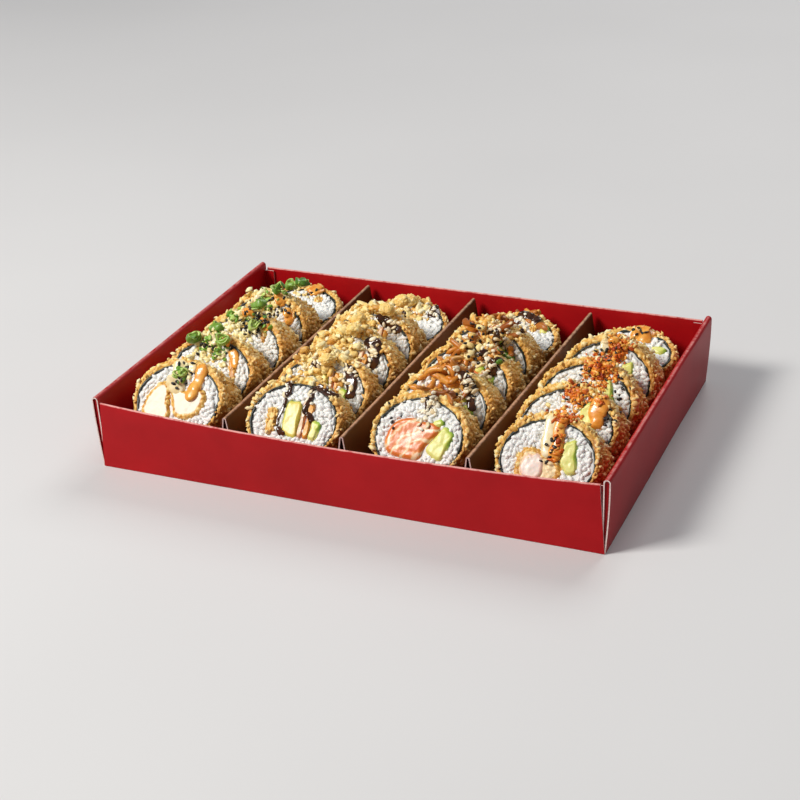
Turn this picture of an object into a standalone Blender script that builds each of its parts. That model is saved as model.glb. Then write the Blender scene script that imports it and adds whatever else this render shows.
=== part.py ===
"""A takeaway sushi tray: folded card tray, three folded card dividers, twenty fried rolls and toppings.

Metres, +Z up. The origin is the centre of the tray's underside, +X runs along
its width and +Y to its back, where the last roll of each row lies.
"""

import math
import random

import bmesh
import bpy
from mathutils import Matrix, Vector
from mathutils.bvhtree import BVHTree

# Tray
TRAY_WIDTH = 0.250
TRAY_DEPTH = 0.175
WALL_HEIGHT = 0.034
SIDE_WALL_HEIGHT = 0.0365
BASE_THICKNESS = 0.0008
CARD = 0.0006
FOLDED_WALL = 0.0014
END_WALL_TOP_INSET = 0.0022
END_WALL_STATIONS = 4
END_WALL_BOW = 0.0036
END_WALL_DIP = 0.0017
SIDE_WALL_BOW = 0.0020
SIDE_FOLD_WIDTH = 0.0032
SIDE_END_SETBACK = 0.0004
INNER_PANEL_LEAN = 0.0004
TOP_FOLD_STEPS = 4
BOW_STEPS = 5
ROLL_OVER_STEPS = 6
EDGE_LAP = 0.0003
FOOT_LIFT = 0.00015

# Dividers
DIVIDER_HEIGHT = 0.0312
DIVIDER_SPREAD = 0.0098
DIVIDER_FLANGE = 0.0056
DIVIDER_SHOULDER_HALF = 0.0013
DIVIDER_SHOULDER_DROP = 0.0052
DIVIDER_FRONT = -0.0778
DIVIDER_BACK = 0.0852
DIVIDER_SHIFTS = ((0.0010, 0.0017), (-0.0016, 0.0003), (-0.0030, 0.0021))

# Rolls, front to back in each row
GAP = 0.0003
ROW_CENTRES = (-0.0920, -0.0307, 0.0297, 0.0913)
ROLL_LEANS = (40.0, 36.0, 32.0, 26.0, 74.0)
ROLL_DEPTHS = (0.0230, 0.0230, 0.0225, 0.0215, 0.0190)
ROLL_HALF_WIDTHS = (0.0242, 0.0240, 0.0238, 0.0236, 0.0230)
ROLL_HALF_HEIGHTS = (0.0206, 0.0202, 0.0200, 0.0198, 0.0193)
LAST_ROLL_SHIFT = 0.0025
ROW_LEAN_CHANGES = (2.0, 1.0, -2.0, 0.0)
BACK_WALL_CLEARANCE = 0.0010
LOOSE_PITCH = 0.0280
SIZE_SPREAD = 0.015
LEAN_SPREAD = 1.5
TURN_SPREAD = 2.5
ACROSS_SPREAD = 0.0012
SIDES_ROUND = 28
CRUST_SHARE = 0.115
CRUST_RELIEF = 0.0012
OUTWARD_BUMP = 0.2
OVAL_WAVE = 0.012
TRIPLE_WAVE = 0.008
RICE_RECESS = 0.0005
FACE_CENTRE_SINK = 0.0003
RIM_HALF_SHARE = 0.02
RIM_RELIEFS = (0.15, 0.25)
SLIDE_STEP = 0.0004
LAST = 4

# Rings behind the cut face: share of the oval, of the depth and of the relief
BODY_RINGS = ((1.0, 0.06, 1.0), (1.0, 0.36, 1.0), (1.0, 0.70, 1.0), (0.97, 1.0, 0.4))

# Cut fillings of each row's rolls: across, upward, half width, half height in the face
FILLING_DEPTH = 0.0008
FILLING_SWELL = 0.0016
FILLINGS = (
    ((-0.0106, -0.0035, 0.0068, 0.0082), (0.0052, -0.0025, 0.0088, 0.0055)),
    ((-0.0010, -0.0015, 0.0042, 0.0085), (0.0075, -0.0010, 0.0030, 0.0085)),
    ((-0.0050, -0.0040, 0.0095, 0.0088), (0.0110, -0.0035, 0.0052, 0.0072)),
    ((-0.0037, -0.0045, 0.0092, 0.0062), (0.0100, 0.0005, 0.0038, 0.0075)),
)

# Toppings: lumps sit at an angle round the crust and at a share of the roll's depth
TOP_REACH_SHARE = 0.62
TOP_START = 0.0020
ANGLE_SPREAD = 6.0
LUMP_RISE = 0.0006
LUMP_UNEVENNESS = 0.12
LUMP_SPIN_AXIS = (0.3, 0.5, 0.8)
CRUMB_FLATNESS = 0.8
CRUMB_LUMPS = ((116, 0.30, 0.0038), (90, 0.80, 0.0044), (66, 0.35, 0.0036))
ONION_LUMPS = ((108, 0.25, 0.0070), (86, 0.75, 0.0066), (66, 0.35, 0.0060))
ONION_THICKNESS = (0.0021, 0.0024)
SAUCE_ANGLES = (82, 92)
SAUCE_RIDGE = (0.0042, 0.0021, 0.0072)
SAUCE_DROP = (0.0032, 0.0062, 0.0019)
SAUCE_DROP_RISE = 0.70
DROP_FROM = 0.065
SCALLION_SPOTS = (
    (-0.0929, -0.0609, 25, 10),
    (-0.1037, -0.0287, -30, 60),
    (-0.0943, -0.0198, 35, -20),
    (-0.0869, -0.0289, -25, 30),
    (-0.0845, -0.0016, 30, 80),
    (-0.0861, 0.0085, -35, 15),
    (-0.0868, 0.0323, 40, -35),
    (-0.0850, 0.0420, -30, 70),
    (-0.0780, 0.0420, 25, 20),
)
CHUNK_SPOTS = (
    (-0.0291, -0.0315),
    (-0.0289, -0.0015),
    (-0.0320, 0.0110),
    (-0.0235, 0.0270),
    (-0.0205, 0.0385),
    (-0.0298, 0.0720),
)
SCALLION_SIDES = 10
SCALLION_RADIUS = 0.0040
SCALLION_WALL = 0.0011
SCALLION_LENGTH = 0.0034
SCALLION_SQUASH = 0.82
SCALLION_WAVE = 0.10
CHUNK_RADIUS = 0.0050
CHUNK_SWELL = 0.94
CHUNK_WAVE = 0.10
CHUNK_UNEVENNESS = 0.05
CHUNK_FLATNESS = 0.78
FIRST_CHUNK_SEED = 900
SETTLE_STEP = 0.00015

# Colours, linear RGB, and roughness
RED_CARD = (0.300, 0.012, 0.014)
GOLDEN_CRUST = (0.560, 0.270, 0.070)
SCALLION_GREEN = (0.110, 0.260, 0.035)
CRUNCH_GOLD = (0.640, 0.370, 0.110)
CARD_ROUGHNESS = 0.35
FRIED_ROUGHNESS = 0.6
LEAF_ROUGHNESS = 0.45


def make_material(name, colour, roughness):
    """A Principled material of one colour and roughness."""
    material = bpy.data.materials.new(name)
    material.use_nodes = True
    shader = material.node_tree.nodes["Principled BSDF"]
    shader.inputs["Base Color"].default_value = (*colour, 1.0)
    shader.inputs["Roughness"].default_value = roughness
    shader.inputs["Metallic"].default_value = 0.0
    return material


def make_object(name, bm, material=None):
    """A linked object from a bmesh, with its faces pointing out."""
    bmesh.ops.recalc_face_normals(bm, faces=bm.faces)
    mesh = bpy.data.meshes.new(name)
    bm.to_mesh(mesh)
    bm.free()
    body = bpy.data.objects.new(name, mesh)
    bpy.context.scene.collection.objects.link(body)
    if material is not None:
        mesh.materials.append(material)
    return body


def unite(body, parts):
    """Joins the parts to the body by one applied Boolean union on a collection, and removes the parts."""
    group = bpy.data.collections.new("parts_of_" + body.name)
    bpy.context.scene.collection.children.link(group)
    for part in parts:
        bpy.context.scene.collection.objects.unlink(part)
        group.objects.link(part)
    union = body.modifiers.new("union", "BOOLEAN")
    union.operation = "UNION"
    union.operand_type = "COLLECTION"
    union.collection = group
    union.solver = "EXACT"
    graph = bpy.context.evaluated_depsgraph_get()
    joined = bpy.data.meshes.new_from_object(body.evaluated_get(graph))
    body.modifiers.clear()
    body.data = joined
    for part in parts:
        bpy.data.objects.remove(part)
    bpy.data.collections.remove(group)
    keep_largest_shell(body)


def keep_largest_shell(body):
    """Deletes every loose scrap of the mesh but the one with the most faces."""
    bm = bmesh.new()
    bm.from_mesh(body.data)
    bmesh.ops.remove_doubles(bm, verts=bm.verts, dist=0.00001)
    bmesh.ops.triangulate(bm, faces=bm.faces)
    shells = []
    unseen = set(bm.faces)
    while unseen:
        front = [unseen.pop()]
        shell = list(front)
        while front:
            face = front.pop()
            for edge in face.edges:
                for neighbour in edge.link_faces:
                    if neighbour in unseen:
                        unseen.remove(neighbour)
                        front.append(neighbour)
                        shell.append(neighbour)
        shells.append(shell)
    shells.sort(key=len)
    for shell in shells[:-1]:
        bmesh.ops.delete(bm, geom=shell, context="FACES")
    bm.to_mesh(body.data)
    bm.free()


def sweep_outline(outline, stations):
    """A closed outline carried through stations, each of which places its points, with two end caps."""
    bm = bmesh.new()
    loops = [[bm.verts.new(station(p)) for p in outline] for station in stations]
    count = len(outline)
    for low, high in zip(loops, loops[1:]):
        for i in range(count):
            j = (i + 1) % count
            bm.faces.new((low[i], low[j], high[j], high[i]))
    caps = [bm.faces.new(loops[0]), bm.faces.new(list(reversed(loops[-1])))]
    bmesh.ops.triangulate(bm, faces=caps)
    return bm


def strip_outline(line, thickness):
    """The closed outline of a card strip whose middle follows the line."""
    left = []
    right = []
    for i, point in enumerate(line):
        before = line[max(i - 1, 0)]
        after = line[min(i + 1, len(line) - 1)]
        into = (Vector(point) - Vector(before)).normalized() if i > 0 else None
        out = (Vector(after) - Vector(point)).normalized() if i < len(line) - 1 else None
        into = into if into is not None else out
        out = out if out is not None else into
        along = (into + out).normalized()
        normal = Vector((-along.y, along.x))
        stretch = 1.0 / max(normal.dot(Vector((-out.y, out.x))), 0.5)
        left.append(Vector(point) + normal * (thickness / 2 * stretch))
        right.append(Vector(point) - normal * (thickness / 2 * stretch))
    return left + list(reversed(right))


def end_wall_outline():
    """The folded end wall in (distance behind its outer face, height): straight sides, a round top fold."""
    radius = FOLDED_WALL / 2
    arc = []
    for i in range(TOP_FOLD_STEPS + 1):
        turn = math.pi * i / TOP_FOLD_STEPS
        arc.append((radius - radius * math.cos(turn), WALL_HEIGHT - radius + radius * math.sin(turn)))
    return [(0.0, FOOT_LIFT), *arc, (FOLDED_WALL, FOOT_LIFT)]


def make_end_wall(name, side):
    """The front (side -1) or back (side +1) wall, a little narrower at its top than at its foot.

    In the middle its top leans out by the bow and drops by the dip. Both fade to
    nothing at the foot and, as a parabola, at the two ends."""
    foot = TRAY_WIDTH / 2 - EDGE_LAP

    def station(share):
        def place(point):
            half = foot - END_WALL_TOP_INSET * point[1] / WALL_HEIGHT
            middle = (1 - share * share) * point[1] / WALL_HEIGHT
            behind = side * (TRAY_DEPTH / 2 - point[0] + END_WALL_BOW * middle)
            return (share * half, behind, point[1] - END_WALL_DIP * middle)

        return place

    shares = [2 * i / END_WALL_STATIONS - 1 for i in range(END_WALL_STATIONS + 1)]
    bm = sweep_outline(end_wall_outline(), [station(share) for share in shares])
    return make_object(name, bm)


def side_wall_line():
    """The middle of the side wall's card in (distance from the tray's centre, height).

    It rises in a shallow outward bow, rolls over at the top and comes straight down
    inside to the tray's floor."""
    foot = TRAY_WIDTH / 2 - CARD / 2
    fold_radius = (SIDE_FOLD_WIDTH - CARD) / 2
    fold_foot = SIDE_WALL_HEIGHT - CARD / 2 - fold_radius
    line = []
    for i in range(BOW_STEPS + 1):
        rise = i / BOW_STEPS
        bow = SIDE_WALL_BOW * math.sin(rise * math.pi / 2)
        line.append((foot + bow, FOOT_LIFT + rise * (fold_foot - FOOT_LIFT)))
    centre = foot + SIDE_WALL_BOW - fold_radius
    for i in range(1, ROLL_OVER_STEPS + 1):
        turn = math.pi * i / ROLL_OVER_STEPS
        line.append((centre + fold_radius * math.cos(turn), fold_foot + fold_radius * math.sin(turn)))
    line.append((centre - fold_radius - INNER_PANEL_LEAN, BASE_THICKNESS / 2))
    return line


def make_side_wall(name, side):
    """The left (side -1) or right (side +1) wall: one card rolled over, open at its two ends."""
    reach = TRAY_DEPTH / 2 - SIDE_END_SETBACK
    outline = strip_outline(side_wall_line(), CARD)
    ends = [
        lambda p: (side * p[0], -reach, p[1]),
        lambda p: (side * p[0], reach, p[1]),
    ]
    return make_object(name, sweep_outline(outline, ends))


def make_tray(material):
    """The folded card tray, one solid: base, folded end walls and rolled side walls."""
    bm = bmesh.new()
    size = (TRAY_WIDTH - 2 * EDGE_LAP, TRAY_DEPTH - 2 * EDGE_LAP, BASE_THICKNESS)
    bmesh.ops.create_cube(bm, size=1.0)
    bmesh.ops.scale(bm, vec=size, verts=bm.verts)
    bmesh.ops.translate(bm, vec=(0, 0, BASE_THICKNESS / 2), verts=bm.verts)
    tray = make_object("tray", bm, material)
    walls = [
        make_end_wall("front_wall", -1),
        make_end_wall("back_wall", 1),
        make_side_wall("left_wall", -1),
        make_side_wall("right_wall", 1),
    ]
    unite(tray, walls)
    return tray


def make_divider(name, centre, shifts, material):
    """A card folded to an upside-down V with a rounded top and a flange along each foot.

    The shifts move its front and back end sideways, as it doesn't stand quite square."""
    level = BASE_THICKNESS + GAP + CARD / 2
    peak = DIVIDER_HEIGHT - CARD / 2
    foot = DIVIDER_SPREAD / 2
    shoulder = peak - DIVIDER_SHOULDER_DROP
    side = [
        (CARD, peak - CARD / 2),
        (DIVIDER_SHOULDER_HALF, shoulder),
        (foot, level),
        (foot + DIVIDER_FLANGE, level),
    ]
    line = [(-x, z) for x, z in reversed(side)] + [(0.0, peak)] + side
    ends = [
        lambda p: (centre + shifts[0] + p[0], DIVIDER_FRONT, p[1]),
        lambda p: (centre + shifts[1] + p[0], DIVIDER_BACK, p[1]),
    ]
    return make_object(name, sweep_outline(strip_outline(line, CARD), ends), material)


class Roll:
    """The size and place of one roll, and its own axes: right, up in the cut face, and out of that face."""

    def __init__(self, row, number, draw):
        self.name = "roll_%d_%d" % (row + 1, number + 1)
        self.row = row
        self.number = number
        self.half_width = ROLL_HALF_WIDTHS[number] * (1 + draw.uniform(-SIZE_SPREAD, SIZE_SPREAD))
        self.half_height = ROLL_HALF_HEIGHTS[number] * (1 + draw.uniform(-SIZE_SPREAD, SIZE_SPREAD))
        self.depth = ROLL_DEPTHS[number]
        change = ROW_LEAN_CHANGES[row] if number < LAST else 0.0
        lean = math.radians(ROLL_LEANS[number] + change + draw.uniform(-LEAN_SPREAD, LEAN_SPREAD))
        turn = math.radians(draw.uniform(-TURN_SPREAD, TURN_SPREAD))
        spin = Matrix.Rotation(turn, 3, "Z")
        self.right = spin @ Vector((1, 0, 0))
        self.up = spin @ Vector((0, math.sin(lean), math.cos(lean)))
        self.out = spin @ Vector((0, -math.cos(lean), math.sin(lean)))
        across = ROW_CENTRES[row] + draw.uniform(-ACROSS_SPREAD, ACROSS_SPREAD)
        if number == LAST:
            across += LAST_ROLL_SHIFT
        foot = BASE_THICKNESS + GAP
        centre_height = foot + self.half_height * math.cos(lean) + self.depth * math.sin(lean)
        self.centre = Vector((across, 0.0, centre_height))

    def point(self, across, upward, outward):
        """The place of a point given in the roll's own frame."""
        return self.centre + self.right * across + self.up * upward + self.out * outward


def make_roll_body(roll, draw, material):
    """The fried roll as a short oval drum: bumpy crust, a proud crust rim and a sunk face of rice.

    Each ring is an ellipse at a share of the roll's size and at a depth behind the
    cut face, and every point of the crust moves in or out by a seeded amount."""
    inner = 1.0 - CRUST_SHARE
    rings = [
        (inner - RIM_HALF_SHARE, RICE_RECESS, RIM_RELIEFS[0]),
        (inner + RIM_HALF_SHARE, 0.0, RIM_RELIEFS[1]),
    ]
    rings += [(share, behind * roll.depth, relief) for share, behind, relief in BODY_RINGS]
    bm = bmesh.new()
    loops = []
    for index, (share, behind, relief) in enumerate(rings):
        loop = []
        for i in range(SIDES_ROUND):
            angle = 2 * math.pi * (i + 0.5 * (index % 2)) / SIDES_ROUND
            bump = CRUST_RELIEF * relief * draw.uniform(-1, 1)
            wave = OVAL_WAVE * math.sin(2 * angle + roll.number)
            wave += TRIPLE_WAVE * math.sin(3 * angle + roll.row)
            across = (roll.half_width * (share + wave * share) + bump) * math.cos(angle)
            upward = (roll.half_height * (share + wave * share) + bump) * math.sin(angle)
            loop.append(bm.verts.new(roll.point(across, upward, -behind + OUTWARD_BUMP * bump)))
        loops.append(loop)
    front = bm.verts.new(roll.point(0, 0, -FACE_CENTRE_SINK))
    back = bm.verts.new(roll.point(0, 0, -roll.depth))
    for i in range(SIDES_ROUND):
        j = (i + 1) % SIDES_ROUND
        bm.faces.new((front, loops[0][i], loops[0][j]))
        bm.faces.new((back, loops[-1][j], loops[-1][i]))
    for index in range(len(loops) - 1):
        near, far = loops[index], loops[index + 1]
        for i in range(SIDES_ROUND):
            j = (i + 1) % SIDES_ROUND
            if index % 2 == 0:
                bm.faces.new((near[i], far[i], near[j]))
                bm.faces.new((near[j], far[i], far[j]))
            else:
                bm.faces.new((near[i], far[j], near[j]))
                bm.faces.new((near[i], far[i], far[j]))
    return make_object(roll.name, bm, material)


def make_lump(roll, across, upward, outward, size, draw):
    """One uneven lump, a twenty-sided ball pulled to its three sizes along the roll's own axes."""
    bm = bmesh.new()
    bmesh.ops.create_icosphere(bm, subdivisions=1, radius=1.0)
    spin = Matrix.Rotation(draw.uniform(0, math.tau), 3, Vector(LUMP_SPIN_AXIS).normalized())
    for vert in bm.verts:
        ball = spin @ vert.co
        ball *= draw.uniform(1 - LUMP_UNEVENNESS, 1 + LUMP_UNEVENNESS)
        vert.co = roll.point(
            across + ball.x * size[0],
            upward + ball.z * size[1],
            outward + ball.y * size[2],
        )
    return make_object("lump", bm)


def on_crust(roll, angle_deg, behind):
    """A place on the crust, across, upward and outward, at an angle from the right and behind the face."""
    angle = math.radians(angle_deg)
    return roll.half_width * math.cos(angle), roll.half_height * math.sin(angle), -behind


def make_fillings(roll, draw):
    """The cut fillings, as low swellings of the front face."""
    lumps = []
    for across, upward, wide, tall in FILLINGS[roll.row]:
        size = (wide, tall, FILLING_SWELL)
        lumps.append(make_lump(roll, across, upward, -FILLING_DEPTH, size, draw))
    return lumps


def make_toppings(roll, draw):
    """Thick sauce, crunchy bits or fried onion along the top of a roll, kept in front of its back face."""
    reach = roll.depth * TOP_REACH_SHARE
    lumps = []
    if roll.row in (1, 2):
        for angle, behind, radius in CRUMB_LUMPS if roll.row == 1 else ONION_LUMPS:
            turned = angle + draw.uniform(-ANGLE_SPREAD, ANGLE_SPREAD)
            across, upward, outward = on_crust(roll, turned, behind * reach + TOP_START)
            crumb = (radius, CRUMB_FLATNESS * radius, radius)
            size = crumb if roll.row == 1 else (radius, *ONION_THICKNESS)
            lumps.append(make_lump(roll, across, upward + LUMP_RISE, outward, size, draw))
        return lumps
    angle = SAUCE_ANGLES[0] if roll.row == 0 else SAUCE_ANGLES[1]
    turned = angle + draw.uniform(-ANGLE_SPREAD, ANGLE_SPREAD)
    across, upward, outward = on_crust(roll, turned, reach / 2)
    lumps.append(make_lump(roll, across, upward + LUMP_RISE, outward, SAUCE_RIDGE, draw))
    lumps.append(make_lump(roll, across, roll.half_height * SAUCE_DROP_RISE, 0.0, SAUCE_DROP, draw))
    return lumps


def tree_of(bodies):
    """A search tree over the triangles of several bodies."""
    points = []
    faces = []
    for body in bodies:
        start = len(points)
        points.extend(body.matrix_world @ v.co for v in body.data.vertices)
        body.data.calc_loop_triangles()
        faces.extend(tuple(start + i for i in t.vertices) for t in body.data.loop_triangles)
    return BVHTree.FromPolygons(points, faces)


def shift_mesh(body, offset):
    """Moves every point of the body by the offset."""
    body.data.transform(Matrix.Translation(offset))


def slide_clear(body, behind):
    """Slides a roll forward until it no longer crosses what lies behind it, and one step more."""
    tree = tree_of(behind)
    while tree_of([body]).overlap(tree):
        shift_mesh(body, (0, -SLIDE_STEP, 0))
    shift_mesh(body, (0, -SLIDE_STEP, 0))


def first_place(roll, body, previous):
    """How far back a roll starts: its top against the back wall, or just within the roll behind it."""
    edge = max(v.co.y for v in body.data.vertices)
    if previous is None:
        wall = TRAY_DEPTH / 2 - FOLDED_WALL - BACK_WALL_CLEARANCE
        return wall - edge
    return previous.centre.y - LOOSE_PITCH - roll.centre.y


def make_row(row, materials):
    """Five rolls, from the last one, which reclines against the back wall, to the front one."""
    previous = None
    bodies = []
    for number in reversed(range(LAST + 1)):
        draw = random.Random(100 * row + number)
        roll = Roll(row, number, draw)
        body = make_roll_body(roll, draw, materials["crust"])
        unite(body, make_fillings(roll, draw) + make_toppings(roll, draw))
        lowest = min(v.co.z for v in body.data.vertices)
        shift_mesh(body, (0, 0, BASE_THICKNESS + GAP - lowest))
        start = first_place(roll, body, previous)
        shift_mesh(body, (0, start, 0))
        before = body.data.vertices[0].co.y
        if bodies:
            slide_clear(body, bodies[-1:])
        roll.centre.y += start + body.data.vertices[0].co.y - before
        previous = roll
        bodies.append(body)
    return bodies


def make_scallion(name, spot, tilt, turn, material):
    """A short ring of scallion: a round wall of leaf turned about its own axis."""
    bm = bmesh.new()
    inner = SCALLION_RADIUS - SCALLION_WALL
    corners = (
        (SCALLION_RADIUS, -SCALLION_LENGTH / 2),
        (SCALLION_RADIUS, SCALLION_LENGTH / 2),
        (inner, SCALLION_LENGTH / 2),
        (inner, -SCALLION_LENGTH / 2),
    )
    loops = []
    for i in range(SCALLION_SIDES):
        angle = math.tau * i / SCALLION_SIDES
        squash = SCALLION_SQUASH + SCALLION_WAVE * math.cos(2 * angle)
        loops.append([
            bm.verts.new((r * math.cos(angle), r * squash * math.sin(angle), z)) for r, z in corners
        ])
    for i in range(SCALLION_SIDES):
        near, far = loops[i], loops[(i + 1) % SCALLION_SIDES]
        for k in range(4):
            m = (k + 1) % 4
            bm.faces.new((near[k], far[k], far[m], near[m]))
    place = Matrix.Translation(spot) @ Matrix.Rotation(turn, 4, "Z") @ Matrix.Rotation(tilt, 4, "X")
    bm.transform(place)
    return make_object(name, bm, material)


def make_chunk(name, spot, draw, material):
    """A large crunchy chunk of fried batter: an uneven ball."""
    bm = bmesh.new()
    bmesh.ops.create_icosphere(bm, subdivisions=2, radius=CHUNK_RADIUS)
    phase = draw.uniform(0, math.tau)
    for vert in bm.verts:
        side = vert.co.normalized()
        swell = CHUNK_SWELL + CHUNK_WAVE * math.sin(4 * side.x + phase) * math.cos(3 * side.y - phase)
        vert.co *= swell * draw.uniform(1 - CHUNK_UNEVENNESS, 1 + CHUNK_UNEVENNESS)
        vert.co.z *= CHUNK_FLATNESS
    bm.transform(Matrix.Translation(spot))
    return make_object(name, bm, material)


def settle(body, below):
    """Lowers a topping until it would touch what lies below it, and lifts it back to a small gap."""
    tree = tree_of(below)
    while not tree_of([body]).overlap(tree):
        shift_mesh(body, (0, 0, -SETTLE_STEP))
    while tree_of([body]).overlap(tree):
        shift_mesh(body, (0, 0, SETTLE_STEP))
    shift_mesh(body, (0, 0, GAP))


def make_scallions(rolls, material):
    """Nine scallion rings scattered along the first row."""
    made = []
    for i, (x, y, tilt, turn) in enumerate(SCALLION_SPOTS):
        spot = Vector((x, y, DROP_FROM))
        name = "scallion_%d" % (i + 1)
        ring = make_scallion(name, spot, math.radians(tilt), math.radians(turn), material)
        settle(ring, rolls + made)
        made.append(ring)
    return made


def make_chunks(rolls, material):
    """Six large crunchy chunks on the second row."""
    made = []
    for i, (x, y) in enumerate(CHUNK_SPOTS):
        draw = random.Random(FIRST_CHUNK_SEED + i)
        chunk = make_chunk("crunch_%d" % (i + 1), Vector((x, y, DROP_FROM)), draw, material)
        settle(chunk, rolls + made)
        made.append(chunk)
    return made


def main():
    for old in list(bpy.data.objects):
        bpy.data.objects.remove(old)
    card = make_material("red_card", RED_CARD, CARD_ROUGHNESS)
    crust = make_material("golden_crust", GOLDEN_CRUST, FRIED_ROUGHNESS)
    scallion = make_material("scallion", SCALLION_GREEN, LEAF_ROUGHNESS)
    crunch = make_material("crunchy_batter", CRUNCH_GOLD, FRIED_ROUGHNESS)
    make_tray(card)
    for i, name in enumerate(("divider_left", "divider_middle", "divider_right")):
        make_divider(name, (i - 1) * TRAY_WIDTH / 4, DIVIDER_SHIFTS[i], card)
    rows = [make_row(row, {"crust": crust}) for row in range(4)]
    make_scallions(rows[0], scallion)
    make_chunks(rows[1], crunch)


main()
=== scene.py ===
"""Looks of a takeaway sushi tray: folded red card, three folded dividers and four rows of fried rolls.

The CAD frame gives every place and size. Each piece here is a surface worked out
with numpy in the row frame: metres, +Z up, +X along the width, +Y to the back.
"""

import math
import random

import bpy
import numpy as np
from mathutils import Matrix, Vector
from mathutils.bvhtree import BVHTree


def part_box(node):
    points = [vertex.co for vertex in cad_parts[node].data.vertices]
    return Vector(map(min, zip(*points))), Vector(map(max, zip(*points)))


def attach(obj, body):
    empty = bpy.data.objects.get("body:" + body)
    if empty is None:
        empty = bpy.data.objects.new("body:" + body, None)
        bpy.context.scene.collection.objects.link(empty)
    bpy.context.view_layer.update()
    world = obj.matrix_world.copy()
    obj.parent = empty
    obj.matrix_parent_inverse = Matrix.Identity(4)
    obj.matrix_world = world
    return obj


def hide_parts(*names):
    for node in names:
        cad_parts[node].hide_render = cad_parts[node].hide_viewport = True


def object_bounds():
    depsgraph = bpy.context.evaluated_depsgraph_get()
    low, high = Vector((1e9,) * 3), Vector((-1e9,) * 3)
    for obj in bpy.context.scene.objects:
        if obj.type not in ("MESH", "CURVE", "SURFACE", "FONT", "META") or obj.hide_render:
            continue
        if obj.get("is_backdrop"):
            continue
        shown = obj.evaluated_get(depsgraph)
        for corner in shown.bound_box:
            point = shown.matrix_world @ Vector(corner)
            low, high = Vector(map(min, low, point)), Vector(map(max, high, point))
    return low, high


MM = 0.001

# Tray and dividers, as in the CAD source
TRAY_WIDTH = 0.250
TRAY_DEPTH = 0.175
WALL_HEIGHT = 0.034
SIDE_WALL_HEIGHT = 0.0365
BASE_THICKNESS = 0.0008
CARD = 0.0006
FOLDED_WALL = 0.0014
END_WALL_TOP_INSET = 0.0022
END_WALL_BOW = 0.0036
END_WALL_DIP = 0.0017
SIDE_WALL_BOW = 0.0020
SIDE_FOLD_WIDTH = 0.0032
SIDE_END_SETBACK = 0.0004
INNER_PANEL_LEAN = 0.0004
EDGE_LAP = 0.0003
FOOT_LIFT = 0.00015
GAP = 0.0003
DIVIDER_HEIGHT = 0.0312
DIVIDER_SPREAD = 0.0098
DIVIDER_FLANGE = 0.0056
DIVIDER_SHOULDER_HALF = 0.0013
DIVIDER_SHOULDER_DROP = 0.0052
DIVIDER_FRONT = -0.0778
DIVIDER_BACK = 0.0852
DIVIDER_SHIFTS = ((0.0010, 0.0017), (-0.0016, 0.0003), (-0.0030, 0.0021))
CORNER_TAB_SETBACK = 0.0011
CORNER_FLAP = 0.0055
CARD_WAVE = 0.00022
CARD_STATIONS = 72

# Rolls, as in the CAD source
ROLL_LEANS = (40.0, 36.0, 32.0, 26.0, 74.0)
ROLL_DEPTHS = (0.0230, 0.0230, 0.0225, 0.0215, 0.0190)
ROLL_HALF_WIDTHS = (0.0242, 0.0240, 0.0238, 0.0236, 0.0230)
ROLL_HALF_HEIGHTS = (0.0206, 0.0202, 0.0200, 0.0198, 0.0193)
ROW_LEAN_CHANGES = (2.0, 1.0, -2.0, 0.0)
SIZE_SPREAD = 0.015
LEAN_SPREAD = 1.5
TURN_SPREAD = 2.5
FACE_SEARCH = 0.0006
ROWS = 4
ROLLS = 5
LAST = 4

# Crust
CRUST_ROUND = 240
CRUST_ALONG = 34
RIM_STEPS = 9
RIM_RADIUS = 0.00135
CRUMB_CELL = 0.0027
GRIT_CELL = 0.0013
CRUMB_RELIEF = 0.0021
CRUMB_LEVEL = 0.42
FLAKE_SHARE = 0.52
GRIT_SHARE = 0.30
SLOW_SHARE = 0.18
FLAKES_PER_ROLL = 330

# Rice
INNER_WIDTH_SHARE = 0.885
INNER_HEIGHT_SHARE = 0.870
INNER_DROP = 0.0014
RICE_LEVEL = 0.0009
GRAIN_LENGTH = 0.0040
GRAIN_WIDTH = 0.0022
GRAIN_SPACING = 0.00205
GRAIN_TOP = 0.0006
GRAIN_LEVEL = 0.0012
# The rice bed is painted darker than the grains, as painted shade in the gaps between them.
RICE_TONES = (
    ("rice_bed_painted_shade", (0.70, 0.71, 0.69), (0.86, 0.87, 0.84), 0.5),
    ("rice_grain", (0.84, 0.85, 0.83), (0.95, 0.95, 0.91), 0.36),
)
RICE_BUMPS = (1400.0, 0.25, 0.00015)
RICE_SOFTNESS = (0.35, 2.2, 2.0, 1.8)
DRUM_RINGS = 18
DRUM_ROUND = 84
DRUM_RELIEF = 0.0005
BLOCK_DEPTH = 0.0036
BAND_DEPTH = 0.0042

# Toppings. A lie says how far out strewn things stand, how rough they are and how much they tilt
CHUNKS = 6
STRIP_LIE = (0.5, 0.25, 0.45)
BIT_LIE = (0.35, 0.5, 0.3)
STREW_HEIGHT = 0.012
SAUCE_BREAK = 0.0026
BITS_BUMPS = (1200.0, 0.35, 0.00015)
LEAF_STOPS = ((0.0, (0.640, 0.760, 0.260)), (0.5, (0.280, 0.480, 0.060)), (1.0, (0.070, 0.190, 0.018)))
LEAF_BUMPS = (900.0, 0.3, 0.0002)
LEAF_SOFTNESS = (0.15, 0.8, 1.5, 0.4)

# Camera, fitted to the tray's corners in the photo
CAMERA_TURN = 24.5
CAMERA_HEIGHT = 26.9
CAMERA_ROLL = -3.12
CAMERA_AIM = (-0.016, 0.020, 0.0)
CAMERA_DISTANCE = 0.85825
CAMERA_LENS = 75.9

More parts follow.
